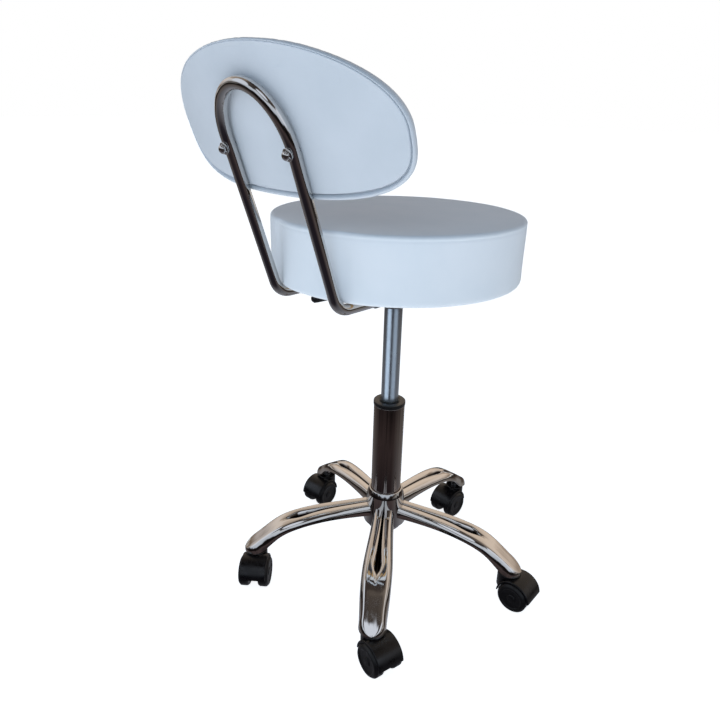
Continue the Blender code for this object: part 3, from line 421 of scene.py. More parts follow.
def block(size, centre):
    """A plain block."""
    x, y, z = (value / 2 for value in size)
    corners = [Vector(centre) + Vector((a * x, b * y, c * z)) for c in (-1, 1) for a, b in ((-1, -1), (1, -1), (1, 1), (-1, 1))]
    return corners, [(0, 3, 2, 1), (4, 5, 6, 7), (0, 1, 5, 4), (1, 2, 6, 5), (2, 3, 7, 6), (3, 0, 4, 7)]


def worked(start, steps):
    """Joins and cuts a solid with others in turn, and returns the resulting mesh."""
    for operation, tool in steps:
        cut = start.modifiers.new(operation, "BOOLEAN")
        cut.operation, cut.solver, cut.object = operation, "EXACT", tool
    made = bpy.data.meshes.new_from_object(start.evaluated_get(bpy.context.evaluated_depsgraph_get()))
    for used in [start] + [tool for _, tool in steps]:
        bpy.data.objects.remove(used, do_unlink=True)
    return made


across = Matrix.Rotation(pi / 2, 4, "X")
axle_at = Matrix.Translation((CASTOR_TRAIL, 0.0, WHEEL_RADIUS))
neck_length = NECK_TOP - NECK_BOTTOM
neck_profile = rounded([(0.0, -neck_length / 2), (NECK_RADIUS, -neck_length / 2), (NECK_RADIUS, neck_length / 2),
                        (0.0, neck_length / 2)], 0.0022, 5)
hood_length = 2 * HOOD_HALF_WIDTH
hood_profile = rounded([(0.0, -hood_length / 2), (HOOD_RADIUS, -hood_length / 2), (HOOD_RADIUS, hood_length / 2),
                        (0.0, hood_length / 2)], 0.0020, 5)
steps = [("UNION", solid(turned(neck_profile, 64), Matrix.Translation((0.0, 0.0, (NECK_TOP + NECK_BOTTOM) / 2))))]
for side in (-1, 1):
    well_at = Matrix.Translation((0.0, side * (WEB_HALF + 0.012), 0.0))
    steps.append(("DIFFERENCE", solid(rod(WELL_RADIUS, 0.024), axle_at @ well_at @ across)))
    steps.append(("DIFFERENCE", solid(block((0.10, 0.03, 0.04), (CASTOR_TRAIL + 0.012, side * (WEB_HALF + 0.015),
                                                                  HOOD_EDGE - 0.02)))))
for x, top in ((CASTOR_TRAIL - 0.035, HOOD_EDGE), (CASTOR_TRAIL + 0.035, HOOD_EDGE), (CASTOR_TRAIL, 0.0165)):
    steps.append(("DIFFERENCE", solid(block((0.048, 0.06, 0.03), (x, 0.0, top - 0.015)))))
steps.append(("DIFFERENCE", solid(rod(0.0055, 0.03, 32), Matrix.Translation((0.0, 0.0, 0.0547)))))
steps.append(("DIFFERENCE", solid(rod(0.0033, 0.06, 32), axle_at @ across)))
hood_mesh = worked(solid(turned(hood_profile, 96), axle_at @ across), steps)

wheel_half = 0.0085
wheel_profile = rounded([
    (0.0, wheel_half - 0.0004), (0.0062, wheel_half - 0.0004), (0.0068, wheel_half - 0.0016),
    (0.0085, wheel_half - 0.0016), (0.0165, wheel_half - 0.0012), (0.0178, wheel_half - 0.0001),
    (0.0215, wheel_half), (0.0250, wheel_half - 0.0035), (0.0250, 0.0030 - wheel_half), (0.0230, -wheel_half),
    (0.0034, -wheel_half), (0.0034, wheel_half - 0.0028), (0.0, wheel_half - 0.0028)], 0.0009)

for number in range(1, 6):
    stem_low, stem_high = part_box(f"castor_{number}_stem")
    axle_low, axle_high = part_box(f"castor_{number}_axle")
    stem_at, axle_mid = (stem_low + stem_high) / 2, (axle_low + axle_high) / 2
    turn = atan2(axle_mid.y - stem_at.y, axle_mid.x - stem_at.x)
    place = Matrix.Translation((stem_at.x, stem_at.y, 0.0)) @ Matrix.Rotation(turn, 4, "Z")
    mesh = hood_mesh.copy()
    mesh.transform(place)
    mesh.shade_smooth()
    mesh.set_sharp_from_angle(angle=radians(35))
    hood = piece(f"hood_{number}", mesh, nylon_hood, f"castor_{number}", [f"castor_{number}_hood"])
    soften = hood.modifiers.new("rounded edges", "BEVEL")
    soften.width, soften.segments, soften.limit_method = 0.0007, 3, "ANGLE"
    soften.angle_limit, soften.harden_normals = radians(40), True
    for letter, side in (("a", 1), ("b", -1)):
        at = place @ axle_at @ Matrix.Translation((0.0, side * 0.0163, 0.0)) @ Matrix.Rotation(-side * pi / 2, 4, "X")
        piece(f"wheel_{number}_{letter}", mesh_of("wheel", turned(wheel_profile, 64), at), nylon_wheel,
              f"castor_{number}_{letter}", [f"castor_{number}_wheel_{letter}"])


# ======================================================================== seat
# A round foam cushion on a plywood board, in white leatherette: a top panel sewn to one long side
# band, which closes in a seam at the back and is drawn down and stapled under the board's edge.
SEAT_RADIUS = (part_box("seat_cushion")[1].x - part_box("seat_cushion")[0].x) / 2
SEAT_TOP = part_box("seat_cushion")[1].z
SEAT_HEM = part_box("seat_cushion")[0].z
BOARD_RADIUS = (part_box("seat_board")[1].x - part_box("seat_board")[0].x) / 2
BOARD_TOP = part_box("seat_board")[1].z
SEAT_SEAM_AT = radians(95)      # the band's closing seam, degrees from +X
PANEL_RINGS = 26                # rings of a panel; its rim has eight points for each
RIM = 8 * PANEL_RINGS


def panel(place, flip=False):
    """A round or oval panel with no pole: square rings of quads drawn out to circles."""
    index, points, faces = {}, [], []
    for ring in range(PANEL_RINGS + 1):
        for step in range(max(8 * ring, 1)):
            index[ring, step] = len(points)
            points.append(Vector(place(ring / PANEL_RINGS, 2 * pi * step / max(8 * ring, 1))))
    for ring in range(1, PANEL_RINGS + 1):
        for side in range(4):
            for k in range(2 * ring):
                step = side * 2 * ring + k
                inner = max(8 * (ring - 1), 1)
                here, after = index[ring, step], index[ring, (step + 1) % (8 * ring)]
                base = side * 2 * (ring - 1)
                if k == 0:
                    continue
                a = index[ring - 1, (base + k - 1) % inner]
                b = index[ring - 1, (base + min(k, 2 * (ring - 1))) % inner] if k < 2 * ring - 1 else None
                if b is None:
                    corner = index[ring, (step + 2) % (8 * ring)]
                    faces.append((a, here, after, corner))
                else:
                    faces.append((a, here, after, b))
    if flip:
        faces = [face[::-1] for face in faces]
    return points, faces


def ripple(point, millimetres, seed):
    """Smooth noise of about -1 to 1 with features of that size."""
    return noise.noise(point * per_metre(millimetres) + Vector((seed, 0.0, 0.0)))


def groove(distance, half_width):
    """Depth share of a sewn groove, 1 on the seam and 0 past its half width."""
    share = min(abs(distance) / half_width, 1.0)
    return (1.0 - share * share)**2


def swelled(cover, held, pressure, most):
    """Blows a closed cover up like foam pressing on it, with its seams and hem held, by at most a set travel."""
    kept = cover.vertex_groups.new(name="held")
    kept.add(held, 1.0, "REPLACE")
    cloth = cover.modifiers.new("cloth", "CLOTH")
    cloth.settings.vertex_group_mass = "held"
    cloth.settings.use_pressure = True
    cloth.settings.uniform_pressure_force = pressure
    cloth.settings.effector_weights.gravity = 0.0
    cloth.settings.mass = 0.3
    cloth.settings.tension_stiffness = cloth.settings.compression_stiffness = 30.0
    cloth.settings.bending_stiffness = 4.0
    cloth.point_cache.frame_start, cloth.point_cache.frame_end = 1, 20
    for step in range(1, 21):
        bpy.context.scene.frame_set(step)
    blown = cover.evaluated_get(bpy.context.evaluated_depsgraph_get()).data
    moved = [vertex.co.copy() for vertex in blown.vertices]
    cover.modifiers.remove(cloth)
    for vertex, target in zip(cover.data.vertices, moved):
        travel = target - vertex.co
        if travel.length > 1e-9:
            vertex.co += travel * (most / (most + travel.length))
    bpy.context.scene.frame_set(1)


def leatherette(name, light, deep):
    """Polyurethane leatherette: pale, satin, with a pebbled grain and a soft drift in tone.

    The real grain is about 0.6 mm across; it is drawn 2.2 mm across so that it shows."""
    finish, tree, shader = finish_of(name, light, 0.0, 0.46, IOR=1.46, Coat_Weight=0.06, Coat_Roughness=0.35,
                                     Sheen_Weight=0.06)
    place = add_node(tree, "ShaderNodeTexCoord").outputs["Object"]
    drift = add_node(tree, "ShaderNodeTexNoise", {"Vector": place, "Scale": per_metre(70), "Detail": 3.0})
    pebble = add_node(tree, "ShaderNodeTexVoronoi", {"Vector": place, "Scale": per_metre(2.2)},
                      feature="SMOOTH_F1")
    crease = add_node(tree, "ShaderNodeTexNoise", {"Vector": place, "Scale": per_metre(5), "Detail": 5.0,
                                                   "Roughness": 0.6})
    tone = add_node(tree, "ShaderNodeMapRange", {"Value": drift.outputs["Fac"], "From Min": 0.30,
                                                 "From Max": 0.70})
    colour = add_node(tree, "ShaderNodeMix", {"Factor": tone.outputs["Result"], "A": srgb(deep),
                                              "B": srgb(light)}, data_type="RGBA")
    tree.links.new(colour.outputs["Result"], shader.inputs["Base Color"])
    gloss = add_node(tree, "ShaderNodeMapRange", {"Value": crease.outputs["Fac"], "To Min": 0.38,
                                                  "To Max": 0.56})
    tree.links.new(gloss.outputs["Result"], shader.inputs["Roughness"])
    grain = add_node(tree, "ShaderNodeBump", {"Height": pebble.outputs["Distance"], "Distance": 0.00010,
                                              "Strength": 0.5})
    soft = add_node(tree, "ShaderNodeBump", {"Height": crease.outputs["Fac"], "Distance": 0.00014,
                                             "Strength": 0.5, "Normal": grain.outputs["Normal"]})
    tree.links.new(soft.outputs["Normal"], shader.inputs["Normal"])
    return finish


seat_leather = leatherette("white_leatherette_seat", "#E3E8EE", "#DCE3EA")

# radius and height down the outside, from the panel's rim to the hem, and in under the board
EDGE = 0.0055
band = []
for i in range(1, 6):
    turn = pi / 2 * i / 5
    band.append((SEAT_RADIUS - EDGE + EDGE * sin(turn), SEAT_TOP - 0.0008 - EDGE + EDGE * cos(turn)))
BAND_TOP = SEAT_TOP - 0.0008 - EDGE
BAND_FOOT = SEAT_HEM + 0.006
SEAM_BELOW_EDGE = 0.0012
band += [(SEAT_RADIUS, BAND_TOP - SEAM_BELOW_EDGE), (SEAT_RADIUS, BAND_TOP - 2 * SEAM_BELOW_EDGE)]
BAND_STEPS = 18
for i in range(1, BAND_STEPS + 1):
    band.append((SEAT_RADIUS, BAND_TOP - 0.003 + (BAND_FOOT - BAND_TOP + 0.003) * i / BAND_STEPS))
for i in range(1, 6):
    turn = pi / 2 * i / 5
    band.append((SEAT_RADIUS - 0.006 + 0.006 * cos(turn), BAND_FOOT - 0.006 * sin(turn)))
WALL = BOARD_RADIUS + 0.0003
BOARD_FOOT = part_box("seat_board")[0].z
FLAP = 0.042                    # how far the cover is turned in under the board
band += [(WALL + 0.0005, SEAT_HEM - 0.0006), (WALL - 0.002, BOARD_FOOT - 0.0004), (WALL - 0.5 * FLAP, BOARD_FOOT - 0.0004),
         (WALL - FLAP, BOARD_FOOT - 0.0004), (WALL - FLAP, BOARD_FOOT - 0.0001), (WALL - 0.001, BOARD_FOOT - 0.0001),
         (WALL, BOARD_FOOT + 0.0003), (WALL, BOARD_TOP + 0.0003)]


def seat_top_point(share, turn):
    """The top panel at rest, dished very slightly down towards its rim."""
    radius = share * (SEAT_RADIUS - EDGE)
    return AXIS.x + radius * cos(turn), AXIS.y + radius * sin(turn), SEAT_TOP - 0.0008 * share**4


def seat_floor_point(share, turn):
    """The foam's flat underside, on the board."""
    return AXIS.x + share * WALL * cos(turn), AXIS.y + share * WALL * sin(turn), BOARD_TOP + 0.0003


top_points, top_faces = panel(seat_top_point)
rings = [top_points[-RIM:]]
for radius, z in band:
    rings.append([Vector((AXIS.x + radius * cos(2 * pi * i / RIM), AXIS.y + radius * sin(2 * pi * i / RIM), z))
                  for i in range(RIM)])
floor_points, floor_faces = panel(seat_floor_point, flip=True)
side_points, side_faces = skin(rings)
points = top_points + side_points + floor_points
faces = top_faces + [tuple(len(top_points) + i for i in f) for f in side_faces]
faces += [tuple(len(top_points) + len(side_points) + i for i in f) for f in floor_faces]
seat_mesh = mesh_of("seat_cushion_cover", (points, faces), crease=180.0)
bm = bmesh.new()
bm.from_mesh(seat_mesh)
bmesh.ops.remove_doubles(bm, verts=bm.verts, dist=0.00001)
bmesh.ops.recalc_face_normals(bm, faces=bm.faces)
bm.to_mesh(seat_mesh)
bm.free()
seat_cover = piece("seat_cushion_cover", seat_mesh, seat_leather, "seat", ["seat_cushion"])
held = [v.index for v in seat_mesh.vertices
        if v.co.z < SEAT_HEM + 0.005 or (v.co.xy - AXIS.xy).length < WALL + 0.001 and v.co.z < BOARD_TOP + 0.002
        or abs(v.co.z - (BAND_TOP - SEAM_BELOW_EDGE)) < 0.0004 or abs(v.co.z - (SEAT_TOP - 0.0008)) < 0.0001]
swelled(seat_cover, held, 4.0, 0.003)

finer = seat_cover.modifiers.new("finer", "SUBSURF")
finer.levels = finer.render_levels = 1
seat_mesh = bpy.data.meshes.new_from_object(seat_cover.evaluated_get(bpy.context.evaluated_depsgraph_get()))
seat_cover.modifiers.remove(finer)
seat_cover.data = seat_mesh
BARS_AT = [atan2(sqrt(SEAT_RADIUS**2 - x**2), x) for x in (-0.060, 0.060)]      # where the bars press the band in
for vertex in seat_mesh.vertices:
    offset = vertex.co - AXIS
    radius, turn = offset.xy.length, atan2(offset.y, offset.x)
    if vertex.co.z < SEAT_HEM - 0.0001 or radius < WALL + 0.0006 and vertex.co.z < BOARD_TOP + 0.002:
        continue
    outward = Vector((offset.x / max(radius, 1e-6), offset.y / max(radius, 1e-6), 0.0))
    on_side = min(max((radius - SEAT_RADIUS + 0.006) / 0.005, 0.0), 1.0)
    height = (vertex.co.z - SEAT_HEM) / (SEAT_TOP - SEAT_HEM)
    below_edge = vertex.co.z - (BAND_TOP - SEAM_BELOW_EDGE)
    seam = groove(below_edge, 0.0022) * on_side
    pucker = max(0.0, 1.0 - abs(below_edge) / 0.012) * on_side
    closing = (turn - SEAT_SEAM_AT) * SEAT_RADIUS
    side_seam = groove(closing, 0.0020) * on_side
    pull = max(0.0, 1.0 - height / 0.35)**2 * on_side
    pressed = sum(groove((turn - at) * SEAT_RADIUS, 0.016) for at in BARS_AT) * (1.0 - 0.75 * min(max(height, 0.0), 1.0))
    spared = 1.0 - min(1.0, sum(groove((turn - at) * SEAT_RADIUS, 0.034) for at in BARS_AT))
    shift = (-0.0004 * seam - 0.0007 * side_seam - 0.0028 * pressed * on_side + 0.0012 * spared * on_side
             + 0.00030 * pucker * ripple(Vector((turn * SEAT_RADIUS, 0.0, 0.0)), 7, 3.0)
             + 0.0007 * pull * ripple(Vector((turn * SEAT_RADIUS, 0.0, vertex.co.z * 0.3)), 13, 9.0)
             + 0.0006 * on_side * ripple(vertex.co, 75, 5.0))
    vertex.co += outward * shift
    if on_side < 1.0:
        vertex.co.z += (1.0 - on_side) * 0.0003 * ripple(vertex.co, 85, 1.0)
seat_mesh.shade_smooth()

# birch plywood, sanded but not sealed: pale tan, grain lines about 3 mm apart
plywood, tree, shader = finish_of("raw_birch_plywood", "#C9A678", 0.0, 0.7)
place = add_node(tree, "ShaderNodeTexCoord").outputs["Object"]
drawn = add_node(tree, "ShaderNodeMapping", {"Vector": place, "Scale": (per_metre(3), per_metre(60), per_metre(3))})
figure = add_node(tree, "ShaderNodeTexNoise", {"Vector": drawn.outputs["Vector"], "Scale": 1.0, "Detail": 5.0,
                                               "Distortion": 0.4})
wood = add_node(tree, "ShaderNodeMix", {"Factor": figure.outputs["Fac"], "A": srgb("#B08B5C"),
                                        "B": srgb("#D9BC90")}, data_type="RGBA")
tree.links.new(wood.outputs["Result"], shader.inputs["Base Color"])
fibre = add_node(tree, "ShaderNodeBump", {"Height": figure.outputs["Fac"], "Distance": 0.0001})
tree.links.new(fibre.outputs["Normal"], shader.inputs["Normal"])
refinish(plywood, "seat_board", "back_board")


# ======================================================================== backrest tube
# One 15 mm steel tube bent into a hairpin and chromed: two feet strapped under the seat, two leaning
# bars and a loop behind the pad, which two studs with washers and domed nuts hold to it.
BAR_LEAN = radians(19.2)
LOOP_LEAN = radians(22.5)
BAR_BEND_RADIUS = 0.026
BAR_STRAIGHT = 0.185
LOOP_STRAIGHT = 0.004
LOOP_HEIGHT = 0.0685
BAR_WALL = 0.0015
STUD_OFFSET = 0.0019            # from a stud's middle to the bar's middle line
SIDES = 36                      # flats round the tube
along_bar = Vector((0.0, sin(BAR_LEAN), cos(BAR_LEAN)))
along_loop = Vector((0.0, sin(LOOP_LEAN), cos(LOOP_LEAN)))
outward = Vector((0.0, cos(BAR_LEAN), -sin(BAR_LEAN)))
bar_low, bar_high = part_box("back_tube")
stud_low, stud_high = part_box("back_stud_left")
BAR_RADIUS = 0.0075
BAR_APART = bar_high.x - bar_low.x - 2 * BAR_RADIUS
foot_z = bar_low.z + BAR_RADIUS
bolt_middle = (stud_low + stud_high) / 2 + STUD_OFFSET * outward
bolt_middle.x = AXIS.x
bend_end = bolt_middle - BAR_STRAIGHT * along_bar
bend_turn = pi / 2 - BAR_LEAN
bend_centre = bend_end - BAR_BEND_RADIUS * Vector((0.0, sin(bend_turn), -cos(bend_turn)))


def hairpin_side():
    """Middle line of one side, from its open end under the seat to the top of the loop."""
    side = Vector((BAR_APART / 2, 0.0, 0.0))
    start = Vector((bend_centre.x, bar_low.y, foot_z)) + side
    line = [start + Vector((0.0, (bend_centre.y - bar_low.y) * i / 8, 0.0)) for i in range(8)]
    for i in range(25):
        turn = bend_turn * i / 24
        line.append(side + bend_centre + BAR_BEND_RADIUS * Vector((0.0, sin(turn), -cos(turn))))
    line += [side + bend_end.lerp(bolt_middle - 0.014 * along_bar, i / 6) for i in range(1, 6)]
    before, middle, after = (bolt_middle - 0.014 * along_bar, bolt_middle, bolt_middle + LOOP_STRAIGHT * along_loop)
    for i in range(7):
        t = i / 7
        line.append(side + (1 - t)**2 * before + 2 * t * (1 - t) * middle + t * t * after)
    for i in range(41):
        turn = pi / 2 * i / 40
        line.append(after + side * cos(turn) + LOOP_HEIGHT * sin(turn) * along_loop)
    return line


def swept(line, radius, sides):
    """Rings of a round tube along a line, carried round its bends without twisting."""
    rings, normal = [], Vector((0.0, 0.0, 1.0))
    for i, point in enumerate(line):
        tangent = (line[min(i + 1, len(line) - 1)] - line[max(i - 1, 0)]).normalized()
        normal = (normal - tangent * normal.dot(tangent)).normalized()
        sideways = tangent.cross(normal)
        rings.append([point + radius * (normal * cos(2 * pi * k / sides) + sideways * sin(2 * pi * k / sides))
                      for k in range(sides)])
    return rings


half = hairpin_side()
line = half + [Vector((2 * AXIS.x - p.x, p.y, p.z)) for p in reversed(half[:-1])]
tube_rings = swept(line, BAR_RADIUS, SIDES)
bore_rings = swept(line, BAR_RADIUS - BAR_WALL, SIDES)
tube_made = skin([bore_rings[1], bore_rings[0]] + tube_rings + [bore_rings[-1], bore_rings[-2]], cap_first=True,
                 cap_last=True)
piece("hairpin_tube", mesh_of("hairpin_tube", tube_made, crease=60.0), chrome, "seat", ["back_tube"])

# stamped and plated M6 domed nut, 10 mm across its flats, on a 15 mm washer
NUT_FLATS = 0.0053
NUT_STANDOFF = 0.0009


def hexed(radius, z, corner):
    """A ring of 48 points, from round (corner 0) to six-sided (corner 1)."""
    ring = []
    for i in range(48):
        turn = 2 * pi * i / 48
        flat = NUT_FLATS / cos((turn + pi / 6) % (pi / 3) - pi / 6)
        reach = radius + (flat - radius) * corner
        ring.append((reach * cos(turn), reach * sin(turn), z))
    return ring


nut_rings = [[(0.0, 0.0, 0.0)], hexed(0.0071, 0.0, 0), hexed(0.0074, 0.0003, 0), hexed(0.0074, 0.0010, 0),
             hexed(0.0071, 0.0013, 0), hexed(0.0054, 0.0014, 0), hexed(0.0, 0.0016, 1), hexed(0.0, 0.0028, 1),
             hexed(0.0055, 0.0034, 0.55)]
for i in range(8):
    turn = pi / 2 * i / 8
    nut_rings.append(hexed(0.0051 * cos(turn), 0.0036 + 0.0036 * sin(turn), 0))
nut_rings.append([(0.0, 0.0, 0.0072)])
for name, side in (("left", 1), ("right", -1)):
    stud_low, stud_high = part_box(f"back_stud_{name}")
    at = (stud_low + stud_high) / 2 + (STUD_OFFSET + BAR_RADIUS + NUT_STANDOFF) * outward
    place = Matrix.Translation(at) @ outward.to_track_quat("Z", "Y").to_matrix().to_4x4()
    piece(f"domed_nut_{name}", mesh_of("nut", skin(nut_rings), place, 28.0), chrome, "seat",
          [f"dome_nut_{name}"])


# ======================================================================== backrest pad
# A low bean-shaped pad, bent round the sitter's back: foam over a curved board, a rear and a front
# panel of white leatherette, and a boxing band sewn between them with a seam all round each side.
PAD_WIDTH = 0.398
PAD_ABOVE = 0.099
PAD_BELOW = 0.0725
PAD_POWER_ABOVE = 1.92
PAD_POWER_BELOW = 3.4
PAD_BEND_RADIUS = 0.63
PAD_THICKNESS = 0.028
PAD_UP_FROM_BOLTS = 0.0135
PAD_GAP = 0.0006
PAD_TOUCHES = BAR_APART**2 / (8 * PAD_BEND_RADIUS)
pad_origin = bolt_middle + PAD_UP_FROM_BOLTS * along_bar - (BAR_RADIUS + PAD_GAP) * outward

# the seat's leatherette again, its colour made darker as painted shade for the lesser light on the pad's rear face
back_leather_painted_shade = leatherette("white_leatherette_back_painted_shade", "#C8CED6", "#C1C8D0")


def pad_place(across, up, depth):
    """A point of the bent pad: arc length across, height up its lean, depth from its rear face."""
    turn = across / PAD_BEND_RADIUS
    radius = PAD_BEND_RADIUS - depth
    out = PAD_TOUCHES - PAD_BEND_RADIUS + radius * cos(turn)
    return pad_origin + Vector((radius * sin(turn), 0.0, 0.0)) + out * outward + up * along_bar


def pad_edge(turn, inset):
    """Across and up on the pad's outline: rounder above its widest line and flatter below."""
    above = sin(turn) >= 0.0
    power = PAD_POWER_ABOVE if above else PAD_POWER_BELOW
    tall = (PAD_ABOVE if above else PAD_BELOW) - inset
    across = (PAD_WIDTH / 2 - inset) * abs(cos(turn))**(2 / power)
    up = tall * abs(sin(turn))**(2 / power)
    return (across if cos(turn) >= 0.0 else -across), (up if above else -up)


# even spacing of the rim's points along the outline
fine = [pad_edge(2 * pi * i / 2880, 0.0) for i in range(2881)]
reached = [0.0]
for (x0, y0), (x1, y1) in zip(fine, fine[1:]):
    reached.append(reached[-1] + sqrt((x1 - x0)**2 + (y1 - y0)**2))


def even_turn(turn):
    """The outline's parameter at an even share of the way round."""
    want = reached[-1] * (turn / (2 * pi) % 1.0)
    low, high = 0, len(reached) - 1
    while high - low > 1:
        middle = (low + high) // 2
        low, high = (middle, high) if reached[middle] <= want else (low, middle)
    part = (want - reached[low]) / max(reached[high] - reached[low], 1e-9)
    return 2 * pi * (low + part) / 2880


def pad_point(share, turn, inset, depth):
    across, up = pad_edge(even_turn(turn), inset)
    return pad_place(share * across, share * up, depth)


FRONT_INSET = 0.0260


def seam_inset(turn):
    """How far the rear seam lies inside the outline: close to it above, and under a lip below."""
    lower = 0.5 - 0.5 * sin(turn)
    return 0.0024 + 0.0062 * lower**1.4, 0.16 + 0.84 * lower**1.3


def rear_point(share, turn):
    """A point of the flat rear panel, inside its seam."""
    return pad_point(share, turn, seam_inset(even_turn(turn))[0], 0.0)


# the crease and lip beside the rear seam (share of the seam's inset, depth at its deepest), then
# inset and depth round the boxing to the front panel
lip = [(0.98, 0.0006), (0.92, 0.0040), (0.85, 0.0064), (0.77, 0.0064), (0.69, 0.0040), (0.60, 0.0006), (0.42, -0.0010),
       (0.20, -0.0002)]
boxing = [(0.0, 0.0026), (0.0002, 0.0052), (0.0008, 0.0080), (0.0018, 0.0110), (0.0034, 0.0140), (0.0056, 0.0170),
          (0.0086, 0.0200), (0.0122, 0.0227), (0.0162, 0.0250), (0.0205, 0.0268)]
rear_points, rear_faces = panel(rear_point)
front_points, front_faces = panel(lambda share, turn: pad_point(share, turn, FRONT_INSET, PAD_THICKNESS), flip=True)
rings = [rear_points[-RIM:]]
for share, depth in lip:
    ring = []
    for i in range(RIM):
        inset, deep = seam_inset(even_turn(2 * pi * i / RIM))
        ring.append(pad_point(1.0, 2 * pi * i / RIM, share * inset, depth * deep + 0.0010 * (1.0 - share)**3))
    rings.append(ring)
for inset, depth in boxing:
    rings.append([pad_point(1.0, 2 * pi * i / RIM, inset, depth) for i in range(RIM)])
rings.append(front_points[-RIM:])
side_points, side_faces = skin(rings)
points = rear_points + side_points + front_points
faces = rear_faces + [tuple(len(rear_points) + i for i in f) for f in side_faces]
faces += [tuple(len(rear_points) + len(side_points) + i for i in f) for f in front_faces]
pad_mesh = mesh_of("back_pad", (points, faces), crease=180.0)
bm = bmesh.new()
bm.from_mesh(pad_mesh)
bmesh.ops.remove_doubles(bm, verts=bm.verts, dist=0.00001)
bmesh.ops.recalc_face_normals(bm, faces=bm.faces)
bm.to_mesh(pad_mesh)
bm.free()
pad = piece("back_pad", pad_mesh, back_leather_painted_shade, "seat", ["back_cushion"])


def pad_measure(point):
    """Across, up and depth of a point, the reverse of pad_place."""
    offset = point - pad_origin
    centre_out = PAD_TOUCHES - PAD_BEND_RADIUS
    out = offset.dot(outward) - centre_out
    turn = atan2(offset.x, out)
    return turn * PAD_BEND_RADIUS, offset.dot(along_bar), PAD_BEND_RADIUS - sqrt(offset.x**2 + out**2)


held = [v.index for v in pad_mesh.vertices if pad_measure(v.co)[2] < 0.0034]
swelled(pad, held, 4.0, 0.003)
finer = pad.modifiers.new("finer", "SUBSURF")
finer.levels = finer.render_levels = 1
pad_mesh = bpy.data.meshes.new_from_object(pad.evaluated_get(bpy.context.evaluated_depsgraph_get()))
pad.modifiers.remove(finer)
pad.data = pad_mesh


def rim_distance(across, up):
    """Rough distance inside the pad's outline, in metres, and a length round it for ripples."""
    power = PAD_POWER_ABOVE if up >= 0.0 else PAD_POWER_BELOW
    tall = PAD_ABOVE if up >= 0.0 else PAD_BELOW
    reach = (abs(across / (PAD_WIDTH / 2))**power + abs(up / tall)**power)**(1 / power)
    length = sqrt(across**2 + up**2)
    return (1.0 / max(reach, 1e-6) - 1.0) * length, atan2(up * 1.6, across) * 0.15


normals = [v.normal.copy() for v in pad_mesh.vertices]
for vertex, normal in zip(pad_mesh.vertices, normals):
    across, up, depth = pad_measure(vertex.co)
    inside, round_way = rim_distance(across, up)
    beside = inside - seam_inset(atan2(up, across))[0]
    pucker = max(0.0, 1.0 - abs(beside) / 0.010) if depth < 0.012 else 0.0
    shift = 0.00040 * pucker * ripple(Vector((round_way, 0.0, 0.0)), 6, 2.0)
    if depth < 0.0015 and beside > 0.002:
        near_bar = min(abs(abs(across) - BAR_APART / 2) / 0.016, 1.0) if up < 0.07 else 1.0
        shift += (0.0008 * ripple(Vector((across, up * 0.35, 0.0)), 55, 4.0) - 0.0004) * near_bar
    elif depth > 0.006:
        shift += 0.0007 * ripple(vertex.co, 60, 6.0)
    vertex.co += normal * shift
pad_mesh.shade_smooth()


# ======================================================================== floor, camera and light
# A plain pale floor, soft light from the front and above, and a room for the chrome to mirror: a
# dark floor, a warm wall and a window, none of which the camera sees.
floor_mesh = bpy.data.meshes.new("floor")
FLOOR_REACH = 30.0
floor_mesh.from_pydata([(x * FLOOR_REACH, y * FLOOR_REACH, 0.0) for x, y in ((-1, -1), (1, -1), (1, 1), (-1, 1))], [],
                       [(0, 1, 2, 3)])
floor = bpy.data.objects.new("floor", floor_mesh)
bpy.context.scene.collection.objects.link(floor)
pale, tree, shader = finish_of("pale_floor", "#F4F4F4", 0.0, 0.9, Emission_Strength=0.85)
shader.inputs["Emission Color"].default_value = (1.0, 1.0, 1.0, 1.0)
floor_mesh.materials.append(pale)
floor.visible_glossy = False

CAMERA_OFFSET = Vector((-0.59530, 0.69299, 0.75489))
camera_axes = Matrix(((-0.71579644, 0.27711595, -0.64096974), (-0.69794602, -0.25431651, 0.66947328),
                      (0.02251253, 0.92656886, 0.37545083)))
camera = bpy.data.objects.new("camera", bpy.data.cameras.new("camera"))
camera.data.sensor_width = 36.0
camera.data.lens = 31.27
camera.data.clip_start = 0.01
camera.matrix_world = Matrix.Translation(AXIS + CAMERA_OFFSET) @ camera_axes.to_4x4()
bpy.context.scene.collection.objects.link(camera)
bpy.context.scene.camera = camera


def lamp(name, at, aim, size, power, colour):
    """A soft square light that the chrome doesn't mirror."""
    light = bpy.data.lights.new(name, "AREA")
    light.size = size
    light.energy = power
    light.color = srgb(colour)[:3]
    held = bpy.data.objects.new(name, light)
    bpy.context.scene.collection.objects.link(held)
    held.location = at
    held.rotation_euler = (Vector(aim) - Vector(at)).to_track_quat("-Z", "Y").to_euler()
    held.visible_glossy = False
    return held


lamp("key", (-1.6, 2.55, 1.6), (0.0, 0.0, 0.5), 1.6, 24.0, "#D9EEFF")
lamp("fill", (1.6, 1.7, 1.6), (0.0, 0.0, 0.4), 1.4, 5.0, "#E4F0FF")

# two panels that only the ground steel tube mirrors, for the pale bands down its length
lift_only = bpy.data.collections.new("mirrored_by_the_lift_tube")
lift_only.objects.link(lift)
for name, bearing, power in (("broad_band", 84, 2.3), ("narrow_band", 168, 1.2)):
    at = AXIS + Vector((0.8 * cos(radians(bearing)), 0.8 * sin(radians(bearing)), 0.08))
    band_light = lamp(name, at, AXIS + Vector((0.0, 0.0, 0.40)), 0.75, power, "#DCE8F6")
    band_light.visible_glossy = True
    band_light.visible_camera = False
    band_light.light_linking.receiver_collection = lift_only

